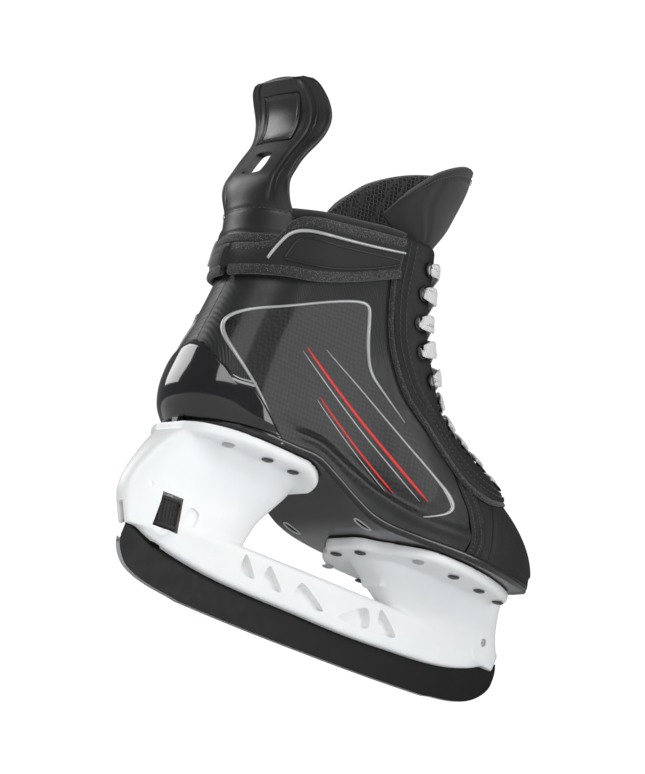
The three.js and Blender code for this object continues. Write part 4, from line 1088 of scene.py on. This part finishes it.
def tongue():
    angle = np.linspace(-np.pi / 2, np.pi / 2, 97)
    t, a = np.meshgrid(np.linspace(0, 1, 84), angle, indexing="ij")
    u, b = np.meshgrid(np.linspace(0, 1, 86)[1:], angle, indexing="ij")

    def grid(inset):
        return np.concatenate([tongue_point(t, a, inset), free_point(u, b, inset)])

    outer, inner = grid(0.3), grid(TONGUE_THICK - 0.4)
    way = unit(inner - outer)
    rows = np.concatenate([t - 1, u])
    turn = np.concatenate([a, b])
    wide = np.abs(turn) / (np.pi / 2)
    panel = ease((rows - 0.16) / 0.03) * ease((0.86 - rows) / 0.03) * ease((0.78 - wide) / 0.04)
    side_welt = 0.8 * np.exp(-(((wide - 0.84) / 0.025) ** 2)) * ease(rows / 0.1)
    welt = np.exp(-(((rows - 0.9) / 0.02) ** 2)) + side_welt
    crown = 0.5 * np.sin(np.pi * np.clip(rows, 0, 1))
    outer = outer - way * (0.7 * panel + 0.5 * welt + 0.3 * crown)[..., None] * 0.9
    channel = 1 - 0.75 * np.exp(-(((wide - 0.42) / 0.05) ** 2))
    pads = 0.9 * channel * ease((rows + 0.9) / 0.2) * ease((1 - rows) / 0.12)
    inner = inner + way * pads[..., None]
    lip = (1 - ease((1 - rows) / 0.07)) * 0.9
    outer = outer - way * lip[..., None]
    piece = sheet("tongue_body", outer, inner, [TONGUE_CLOTH, LINING, COLLAR_CLOTH], edge_cells=3, body=None,
                  slot="tongue_textile", replaced=["tongue_lower", "tongue_upper"])
    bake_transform(piece)
    edge = free_point(np.full(70, 0.9), np.linspace(-1.45, 1.45, 70), 0.0)
    out = unit(edge - free_point(np.full(70, 0.9), np.linspace(-1.45, 1.45, 70), 3.0))
    row = stitches("tongue_stitch", edge + out * 0.55, out, THREAD, "tongue_textile")
    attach(row, "tongue")


# ---- Tendon guard: its root on the heel and its blade behind the ankle are made as one part

GUARD_BACK = spline([
    (176, -99), (200, -97), (214, -97.5), (229, -96.5), (240, -91), (250, -86), (262, -81), (272, -80.5),
    (282, -83.5), (291, -88.5),
])
GUARD_HALF = spline([
    (213, 25), (232, 25.5), (245, 25), (258, 27), (270, 28.8), (279, 28), (284.5, 26), (288, 23), (290.2, 18),
    (291, 11),
])
GUARD_WRAP = spline([(213, 14), (229, 7), (245, 5), (262, 8), (275, 8), (291, 1)])
ROOT_LIFT = 3.1
GUARD_THICK = 3.6


def guard_point(z, c, lift):
    bow = (1 - np.sqrt(1 - (0.9 * c) ** 2)) / (1 - np.sqrt(1 - 0.81))
    return np.stack([GUARD_BACK(z) - lift + GUARD_WRAP(z) * bow, GUARD_HALF(z) * c, z], -1)


def root_point(z, c, lift):
    x = back_at(z) - lift + 17 * c * c
    half = np.where(c < 0, half_width(x, z, "lateral", -lift), half_width(x, z, "medial", -lift))
    return np.stack([x, np.sign(c) * half, z], -1)


def tendon_guard():
    z, c = np.meshgrid(np.concatenate([np.linspace(182, 232, 50), np.linspace(232, 291, 84)[1:]]),
                       np.linspace(-1, 1, 113), indexing="ij")
    share = ease((z - 202) / 18)[..., None]
    outer = lerp(root_point(z, c, ROOT_LIFT), guard_point(z, c, ROOT_LIFT), share)
    thick = lerp(2.0, GUARD_THICK, share)
    normals = unit(np.cross(np.gradient(outer, axis=1), np.gradient(outer, axis=0)))
    normals *= np.sign(np.sum(normals * np.array([-1.0, 0, 0]), -1, keepdims=True) + 1e-6)
    wide = np.abs(c)
    blade = ease((z - 214) / 14)
    plate = ease((0.62 - wide) / 0.03) * blade
    channel = ease((wide - 0.62) / 0.03) * ease((0.76 - wide) / 0.03) * blade
    rim = ease((wide - 0.93) / 0.03) * blade
    recess = ease((0.5 - wide) / 0.02) * ease((z - 255) / 1.2) * ease((284 - z) / 1.2)
    fold = np.exp(-(((z - 213) / 0.7) ** 2)) + np.exp(-(((z - 200) / 0.7) ** 2))
    lift = 1.2 * plate - 0.7 * channel + 0.5 * rim - 1.0 * recess - 0.7 * fold
    outer_face = outer + normals * lift[..., None]
    inner_face = outer - normals * (thick - 0.2)
    piece = sheet("guard_shell", outer_face, inner_face, [GUARD, FELT, GUARD], edge_cells=2, body=None,
                  slot="guard_plastic", replaced=["guard_root", "tendon_guard"], sharp=50)
    window = round_outline([(-7.5, 233.5), (7.5, 233.5), (6.6, 248.5), (-6.6, 248.5)], 0.12, 3)
    carve(piece, [prism(window, "x", -125, -60)], "EXACT")
    smooth(piece.data, 42)
    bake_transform(piece)
    badge()
    turn = np.linspace(-0.93, 0.93, 60)
    level = np.full(60, 213.0)
    seam = lerp(root_point(level, turn, ROOT_LIFT), guard_point(level, turn, ROOT_LIFT), 0.66)
    out = unit(seam - [-60, 0, 213])
    stitches("root_stitch", seam + out * 0.4, out, THREAD, "guard_plastic")
    band = root_point(np.full(60, 196.5), np.linspace(-0.96, 0.96, 60), ROOT_LIFT + 0.3)
    out = unit(band - [-70, 0, 196.5])
    loops = sweep_loops(band, out, oval(12, 2.6, 1.1, 0.8))
    loft("root_binding", loops, [KNIT], slot="cuff_textile", sharp=60)


def badge():
    """A plain glossy plate let into the guard, with a raised border."""
    z, c = np.meshgrid(np.linspace(256.4, 282.6, 44), np.linspace(-1, 1, 45), indexing="ij")
    half = lerp(11.6, 13.0, (z - 256.4) / 26.2)
    face = guard_point(z, c * half / GUARD_HALF(z), ROOT_LIFT + 0.3)
    border = np.maximum(np.abs(c), np.abs((z - 269.5) / 13.1))
    raised = 0.45 * ease((border - 0.86) / 0.03)
    out = np.array([-1.0, 0, 0.05])
    sheet("guard_badge_plate", face + out * (0.75 + raised)[..., None], face - out * 0.1, [BADGE, GUARD],
          edge_cells=1, body="tendon_guard", slot="gloss_shell", replaced=["guard_badge"])


# ---- Lace


def band_loops(points, outward, width, thick):
    """Loops of a flat band with rounded edges, resampled smoothly along its points."""
    t = np.linspace(0, 1, 64)
    line, out, wide = route(points)(t), unit(route(outward)(t)), route(width)(t)[:, 0]
    along = unit(np.gradient(line, axis=0))
    across = unit(np.cross(out, along))
    out = unit(np.cross(along, across))
    angle = np.arange(16) * 2 * np.pi / 16
    a = np.sign(np.cos(angle)) * np.abs(np.cos(angle)) ** 0.6 * 0.5
    h = np.sin(angle) * 0.5
    arch = 0.22 * np.sin(np.linspace(0, np.pi, 64))
    bow = (1 - (2 * a) ** 2)[None, :] * arch[:, None]
    high = h[None, :] * thick * (1 + 0.5 * (7 - wide) / 7)[:, None] + bow
    aside = across[:, None] * (a[None, :] * wide[:, None])[..., None]
    return line[:, None] + aside + out[:, None] * high[..., None]


LACE_RISE = 6.0
LACE_THICK = 1.6


def beside_hole(centre, side):
    """The lace's place where it comes out over the facing's edge by an eyelet."""
    edge = FACING(np.linspace(0, 1, 400))
    x, z = edge[np.argmin(np.hypot(edge[:, 0] - centre[0], edge[:, 1] - centre[2]))]
    normal = skin_normal(x, z, side)
    return skin(x, z, side) + normal * (LACE_RISE + 0.5), normal


def lace():
    """Flat braid crossing the tongue between the eyelets, each pass going down through its eyelet."""
    rings = {side: eyelet_places(side) for side in SIDES}
    grain = np.linspace(0, 1, 400)
    midline = TONGUE_LINE(grain)
    clear = spline([(0, 8.2), (0.3, 4.4), (1, 4.4)])
    width = [(2.8,), (7.0,), (8.8,), (7.8,), (7.6,), (7.8,), (8.8,), (7.0,), (2.8,)]
    spare = ["lace"]
    for n in range(9):
        here, after = ({side: rings[side][n + k] for side in SIDES} for k in (0, 1))
        way = unit((after["lateral"][0] - here["lateral"][0]) * [1, 0, 1])
        out = np.array([-way[2], 0, way[0]])
        mid = (here["lateral"][0] + after["lateral"][0]) / 2 + out * -2
        t = grain[np.argmin(np.hypot(midline[:, 0] - mid[0], midline[:, 1] - mid[2]))]
        for side, other in (("lateral", "medial"), ("medial", "lateral")):
            sign = SIDES[side]
            over = 0.7 if side == "lateral" else -0.6
            (start, start_out), (end, end_out) = here[side], after[other]
            crown = [tongue_point(t, sign * k, -clear(t) - over * (1 - abs(k))) for k in (0.75, 0, -0.75)]
            ends = (start, start_out, side), (end, end_out, other)
            tops = [skin(p[0], p[2], s) + o * LACE_RISE for p, o, s in ends]
            (left, left_out), (right, right_out) = beside_hole(start, side), beside_hole(end, other)
            points = [start - start_out * 2.2, tops[0], left, *crown, right, tops[1], end - end_out * 2.2]
            lean = unit(start_out + [0, sign * -1.0, 0]), unit(end_out + [0, sign * 1.0, 0])
            outward = [lean[0], start_out, left_out, out, out, out, right_out, end_out, lean[1]]
            loops = band_loops(points, outward, width, LACE_THICK)
            loft(f"lace_pass_{n + 1}_{side}", loops, [BRAID], slot="lace_textile", replaced=spare, sharp=70)
            spare = []


# ---- Holder and runner

rail_foot = spline([
    (-139, 32.5), (-134, 31.2), (-115, 24.8), (-87, 20.2), (-60, 18.2), (-16, 17.2), (26, 16.4), (61, 17.3),
    (97, 19.2), (122, 23.8), (147, 33.2),
])
FLANGE_THICK = 6.5
HEEL_FLANGE = [
    (-119, 10, 10), (-116, 17, 17), (-110, 23, 23), (-100, 28, 28), (-86, 30.5, 30.5), (-60, 30.5, 30.5),
    (-42, 29, 28), (-33, 25, 24), (-29, 18, 18),
]
TOE_FLANGE = [
    (15, 9, 9), (17, 14, 13), (24, 20, 19), (31, 31, 29), (42, 41, 37), (60, 43.5, 39.5), (80, 42.5, 38.5),
    (100, 37.5, 35), (118, 29, 28), (129, 20, 19.5), (134, 10, 10),
]
HEEL_TOWER = [
    (30, -138, -62, 7.5), (45, -143, -55, 9), (55, -141.5, -50, 9.5), (66, -136, -41, 11.5),
    (76, -129.5, -33.5, 14), (84, -123, -34, 17),
]
TOE_TOWER = [
    (28, 70, 145.5, 7), (36, 62, 146.2, 9), (45, 50, 142, 11.5), (55, 38, 138, 17), (65, 28, 134.5, 24),
]
HEEL_CORE = [(58, -133, -52, 5), (66, -128, -45, 7.5), (76, -122, -39, 10.5), (91, -115, -42, 13)]
TOE_CORE = [(48, 58, 133, 8), (55, 47, 130, 13), (69, 39, 126, 20)]
POCKETS = [
    [(-60, 26), (-46, 25), (-59, 38)], [(-43, 25), (-25, 23.5), (-41, 37)],
    [(-20, 23.2), (9, 22.2), (-16, 35)], [(12, 22.4), (42, 22.6), (36, 35.5)],
    [(46, 22.8), (64, 24), (44, 38)],
]


def tower(levels, corners=56, rows=28):
    levels = np.array(levels, float)
    z = np.linspace(levels[0, 0], levels[-1, 0], rows)
    rear, front, half = (spline(levels[:, [0, k]])(z)[:, None] for k in (1, 2, 3))
    angle = (np.arange(corners) + 0.5) * 2 * np.pi / corners
    c, s = np.cos(angle), np.sin(angle)
    x = lerp(rear, front, 0.5 + 0.5 * np.sign(c) * np.abs(c) ** 0.62)
    y = half * np.sign(s) * np.abs(s) ** 0.62
    return closed_loft(np.stack([x, y, np.broadcast_to(z[:, None], x.shape)], -1))


def flange(rows):
    rows = np.array(rows, float)
    lateral, medial = spline(rows[:, [0, 1]]), spline(rows[:, [0, 2]])
    x = np.linspace(rows[0, 0], rows[-1, 0], 110)
    loops = []
    for at in x:
        top = sole_at(at) - 0.4
        foot = top - FLANGE_THICK
        out, inn = -lateral(at), medial(at)
        rim = [(out, top), (out - 0.2, foot + 2.6), (out + 1.2, foot + 0.8), (out + 4, foot), (inn - 4, foot),
               (inn - 1.2, foot + 0.8), (inn + 0.2, foot + 2.6), (inn, top)]
        loops.append([(at, y, z) for y, z in rim])
    return closed_loft(loops)


def rail():
    loops = []
    for at in np.linspace(-139, 147, 120):
        share = (at + 139) / 286
        rise = np.clip(min(share, 1 - share) * 10, 0.35, 1)
        foot = rail_foot(at)
        top = max(40 * rise, foot + 6)
        slim = np.clip(min(share, 1 - share) * 9 + 0.25, 0.25, 1) ** 0.6
        half = [(5.6, foot), (6.3, foot + 1.2), (7.6, lerp(foot, top, 0.5)), (9, top - 3), (8.4, top - 1),
                (6.6, top)]
        half = [(y * slim, z) for y, z in half]
        loops.append([(at, y, z) for y, z in half] + [(at, -y, z) for y, z in reversed(half)])
    return closed_loft(loops)


def ribs():
    """Upright webs where the towers run into the flanges."""
    made = []
    webs = (-96, 60, 86, 16), (-70, 56, 86, 17), (44, 48, 64, 20), (72, 44, 64, 22), (98, 44, 64, 21)
    for x, low, high, half in webs:
        loops = [[(x - 1.8, -h, z), (x + 1.8, -h, z), (x + 1.8, h, z), (x - 1.8, h, z)]
                 for z, h in zip(np.linspace(low, high, 8), lerp(7.0, half, np.linspace(0, 1, 8) ** 1.6))]
        made.append(closed_loft(loops))
    return made


def holder():
    solids = [rail(), tower(HEEL_TOWER), tower(TOE_TOWER), flange(HEEL_FLANGE), flange(TOE_FLANGE), *ribs()]
    points, faces = [], []
    for solid_points, solid_faces in solids:
        start = sum(len(p) for p in points)
        points.append(solid_points)
        faces += [[start + n for n in face] for face in solid_faces]
    piece = make_piece("holder_body", np.concatenate(points), faces, [WHITE], body=None)
    remesh = piece.modifiers.new("remesh", "REMESH")
    remesh.mode, remesh.voxel_size = "VOXEL", 1.05 * MM
    relax = piece.modifiers.new("relax", "SMOOTH")
    relax.factor, relax.iterations = 0.5, 5
    flatten(piece)
    slot_top = lambda x: rail_foot(x) + 7 + 1.05
    x = np.linspace(-150, 155, 60)
    slot = [(a, 5.0) for a in x] + [(a, float(slot_top(a))) for a in x[::-1]]
    wheel_low, wheel_high = (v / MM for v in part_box("lock_wheel"))
    wheel_x = (wheel_low[0] + wheel_high[0]) / 2
    reach = (wheel_high[0] - wheel_low[0]) / 2
    bay = (wheel_low[2] - 0.8, wheel_high[2] + 1.7)
    up = (0, 0, 1)
    bay_profile = [(0, bay[0]), (reach + 0.8, bay[0]), (reach + 0.8, bay[1]), (0, bay[1])]
    cutters = [prism(slot, "y", -1.85, 1.85), tower(HEEL_CORE, 40, 12), tower(TOE_CORE, 40, 12),
               lathe(bay_profile, 72, (wheel_x, 0, 0), up),
               lathe([(0, 20), (4, 20), (4, bay[1] + 2.4), (0, bay[1] + 2.4)], 32, (wheel_x, 0, 0), up)]
    pin_low, pin_high = (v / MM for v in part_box("catch_pin"))
    pin = (pin_low + pin_high) / 2
    half = (pin_high[0] - pin_low[0]) / 2
    rear, front, high = pin[0] - 11, pin[0] + 6.4, pin[2] + 7
    cutters.append(prism([(rear, 20), (front, 20), (front, high), (rear, high)], "y", -2.7, 2.7))
    bore = [(0, -27), (half + 0.3, -27), (half + 0.3, 27), (0, 27)]
    cutters.append(lathe(bore, 32, (pin[0], 0, pin[2]), (0, 1, 0)))
    for corners in POCKETS:
        outline = round_outline(corners, 0.16, 2)
        for sign in (-1, 1):
            cutters.append(prism(outline, "y", *sorted((sign * 3.6, sign * 14))))
    for x, y, z in rivet_places():
        hole = [(0, -2), (4.0, -2), (4.0, 0.75), (1.9, 0.75), (1.9, 14), (0, 14)]
        cutters.append(lathe([(r, z + h) for r, h in hole], 24, (x, y, 0), up))
    for sign in (-1, 1):
        recess = round_outline([(-107, 36), (-96, 39), (-95, 47), (-103, 49)], 0.2, 3)
        cutters.append(prism(recess, "y", *sorted((sign * 7.6, sign * 14))))
        notch = round_outline([(-135, 50), (-129, 50), (-129, 54), (-135, 54)], 0.3, 2)
        cutters.append(prism(notch, "y", *sorted((sign * 7.8, sign * 14))))
    carve(piece, cutters)
    smooth(piece.data, 32)
    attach(piece, "boot")
    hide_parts("holder")


def rivet_nodes():
    return sorted(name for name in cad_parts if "_rivet_" in name)


def rivet_places():
    """Centre and underside of each rivet's head."""
    spots = []
    for name in rivet_nodes():
        low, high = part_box(name)
        spots.append(((low[0] + high[0]) / 2 / MM, (low[1] + high[1]) / 2 / MM, low[2] / MM))
    return spots


def rivets():
    """Domed heads with a drilled middle; two a side are left bright."""
    for name, (x, y, z) in zip(rivet_nodes(), rivet_places()):
        bright = (name[:4], name[-2:]) in (("heel", "_1"), ("toe_", "_2"))
        head = [(0, 0.35), (0.9, 0.35), (1.05, 0.1), (2.0, 0.02), (2.8, 0.25), (3.15, 0.6), (3.2, 0.95),
                (3.0, 1.05), (1.6, 1.05), (1.6, 9.9), (0, 9.9)]
        points, faces = lathe(head, 28, (x, y, z), (0, 0, 1))
        make_piece(f"{name}_head", points, faces, [SILVER if bright else RIVET_METAL], slot="rivet_metal",
                   replaced=[name], sharp=50)


RUNNER_HEEL = route([(-98, 2.2), (-112, 3.8), (-124, 6.4), (-133, 11), (-138, 19.8), (-136.5, 30.8)])
RUNNER_TOE = route([(102, 2.4), (116, 3.8), (128, 6.4), (138, 11), (146, 18), (149, 26.7), (148.6, 33)])


def runner():
    """The blade: bright hollow-ground edge and heel, dark coated faces, and a hidden hook."""
    flat, rocker = 12, 2500
    foot_x = np.linspace(-92, 96, 60)
    lower = np.stack([foot_x, np.maximum(np.abs(foot_x) - flat, 0) ** 2 / (2 * rocker)], -1)
    heel, toe = RUNNER_HEEL(np.linspace(1, 0, 26)), RUNNER_TOE(np.linspace(0, 1, 30))
    upper_x = np.linspace(143, -133, 90)
    upper = np.stack([upper_x, rail_foot(upper_x) + np.minimum(7, 32.3 - rail_foot(upper_x))], -1)
    outline = np.concatenate([heel, lower, toe, upper])
    along = unit(np.roll(outline, -1, axis=0) - np.roll(outline, 1, axis=0))
    inward = np.stack([-along[:, 1], along[:, 0]], -1)
    ground = len(heel) + len(lower) + len(toe)
    edge = np.zeros(len(outline))
    edge[:ground] = 1
    edge = np.convolve(np.concatenate([edge[-4:], edge, edge[:4]]), np.ones(9) / 9, "valid")
    rings = []
    half_section = [(-1.5, 2.6), (-1.5, 1.0), (-1.46, 0.12), (-1.3, 0.02)]
    for y, inset in (*half_section, (0, 0.35), *((-y, inset) for y, inset in half_section[::-1])):
        step = np.where(np.arange(len(outline)) < ground, inset, min(inset, 1.0) * 0.6)
        flat_line = outline + inward * (step * np.clip(edge, 0.35, 1))[:, None]
        rings.append(np.stack([flat_line[:, 0], np.full(len(outline), y), flat_line[:, 1]], -1))
    points, faces = closed_loft(rings)
    count = len(outline)
    kinds = []
    for n in range(len(faces) - 2):
        column, row = n % count, n // count
        kinds.append(1 if column < ground and 1 < row < 6 else 0)
    kinds += [0, 0]
    make_piece("runner_blade", points, faces, [BLACK_STEEL, BRIGHT_STEEL], body="runner", slot="runner_steel",
               replaced=["runner"], kinds=kinds, sharp=40)
    pin_low, pin_high = (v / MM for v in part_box("catch_pin"))
    x, z = (pin_low[0] + pin_high[0]) / 2, (pin_low[2] + pin_high[2]) / 2
    corners = [(x - 9, z - 9.5), (x + 4.5, z - 9.5), (x + 4.5, z - 2.6), (x - 0.6, z - 2.6), (x - 2.6, z - 1),
               (x - 2.6, z + 1), (x - 0.6, z + 2.6), (x + 4.5, z + 2.6), (x + 4.5, z + 5.4), (x - 9, z + 5.4)]
    points, faces = prism(corners, "y", -1.4, 1.4)
    make_piece("runner_hook", points, faces, [BLACK_STEEL], body="runner", slot="runner_steel")


def lock_wheel():
    """Thumb wheel with two rims and rows of grip pips between them."""
    low, high = (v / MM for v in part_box("lock_wheel"))
    x, radius = (low[0] + high[0]) / 2, (high[0] - low[0]) / 2
    tall = high[2] - low[2]
    sides = 120
    profile = [(4.0, 0.6), (4.6, 0), (radius - 1.6, 0), (radius - 0.7, 0.3), (radius - 0.3, 1.0),
               (radius - 0.5, 1.7)]
    rows = 13
    for n in range(rows * 4 + 1):
        profile.append((None, 1.9 + (tall - 3.8) * n / (rows * 4)))
    profile += [(radius - 0.5, tall - 1.7), (radius - 0.3, tall - 1.0), (radius - 0.7, tall - 0.3),
                (radius - 1.6, tall), (4.6, tall), (4.0, tall - 0.6), (4.0, 0.6)]
    angle = np.arange(sides) * 2 * np.pi / sides
    loops = []
    for r, up in profile:
        if r is None:
            wave = math.cos((up - 1.9) / (tall - 3.8) * rows * 2 * math.pi)
            pip = np.maximum(np.cos(angle * 30), 0) * max(wave, 0)
            ring = radius - 1.15 + 0.75 * pip**0.6
        else:
            ring = np.full(sides, r)
        level = np.full(sides, low[2] + up)
        loops.append(np.stack([x + ring * np.cos(angle), ring * np.sin(angle), level], -1))
    grid = np.array(loops)
    index = np.arange(grid.shape[0] * sides).reshape(-1, sides)
    faces = grid_faces(np.concatenate([index, index[:, :1]], 1))
    make_piece("thumb_wheel", grid.reshape(-1, 3), faces, [GRIP], body="lock_wheel", slot="wheel_plastic",
               replaced=["lock_wheel"], sharp=50)


def paint_frame_nodes():
    """The hidden hardware keeps its CAD shape and gets bright steel."""
    for name in ("lock_stud", "wheel_washer", "catch_pin"):
        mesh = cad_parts[name].data
        mesh.materials.clear()
        mesh.materials.append(BRIGHT_STEEL)


tongue()
tendon_guard()
lace()
holder()
rivets()
runner()
lock_wheel()
paint_frame_nodes()

# ---- Studio


def make_floor():
    """A pale floor that is seen from above and not from below, where the camera is."""
    bpy.ops.mesh.primitive_plane_add(size=8, location=(0, 0, -0.0005))
    floor = bpy.context.object
    floor.name = "floor"
    material = bpy.data.materials.new("floor")
    material.use_nodes = True
    nodes, links = material.node_tree.nodes, material.node_tree.links
    nodes["Principled BSDF"].inputs["Base Color"].default_value = (0.82, 0.82, 0.82, 1)
    nodes["Principled BSDF"].inputs["Roughness"].default_value = 0.9
    kinds = "BsdfTransparent", "MixShader", "NewGeometry"
    clear, mix, side = (nodes.new("ShaderNode" + kind) for kind in kinds)
    links.new(side.outputs["Backfacing"], mix.inputs[0])
    links.new(nodes["Principled BSDF"].outputs[0], mix.inputs[1])
    links.new(clear.outputs[0], mix.inputs[2])
    links.new(mix.outputs[0], nodes["Material Output"].inputs["Surface"])
    floor.data.materials.append(material)
    floor.visible_shadow = False


def make_world():
    """White to the camera, soft grey to everything else."""
    world = bpy.data.worlds.new("world")
    bpy.context.scene.world = world
    world.use_nodes = True
    nodes, links = world.node_tree.nodes, world.node_tree.links
    white, grey = nodes["Background"], nodes.new("ShaderNodeBackground")
    white.inputs[0].default_value, white.inputs[1].default_value = (1, 1, 1, 1), 1.05
    grey.inputs[0].default_value, grey.inputs[1].default_value = (0.94, 0.97, 1, 1), 0.16
    path, mix = nodes.new("ShaderNodeLightPath"), nodes.new("ShaderNodeMixShader")
    links.new(path.outputs["Is Camera Ray"], mix.inputs[0])
    links.new(grey.outputs[0], mix.inputs[1])
    links.new(white.outputs[0], mix.inputs[2])
    links.new(mix.outputs[0], nodes["World Output"].inputs["Surface"])


def soft_light(name, place, aim, size, power):
    light = bpy.data.lights.new(name, "AREA")
    light.shape, light.size, light.size_y, light.energy = "RECTANGLE", size[0], size[1], power
    lamp = bpy.data.objects.new(name, light)
    bpy.context.scene.collection.objects.link(lamp)
    lamp.location = place
    lamp.rotation_mode = "QUATERNION"
    lamp.rotation_quaternion = (Vector(aim) - Vector(place)).to_track_quat("-Z", "Y")


make_floor()
make_world()
soft_light("key", (-0.9, -0.9, 1.0), (0, 0, 0.14), (0.9, 0.9), 9.5)
soft_light("side", (0.7, -1.1, 0.35), (0.02, 0, 0.12), (0.5, 1.1), 6.5)
soft_light("low", (-0.5, -1.0, -0.35), (0, 0, 0.06), (1.2, 0.5), 5)
soft_light("rim", (-0.6, 0.9, 0.7), (0, 0, 0.16), (0.7, 0.7), 7)
bpy.context.scene.view_settings.view_transform = "Standard"
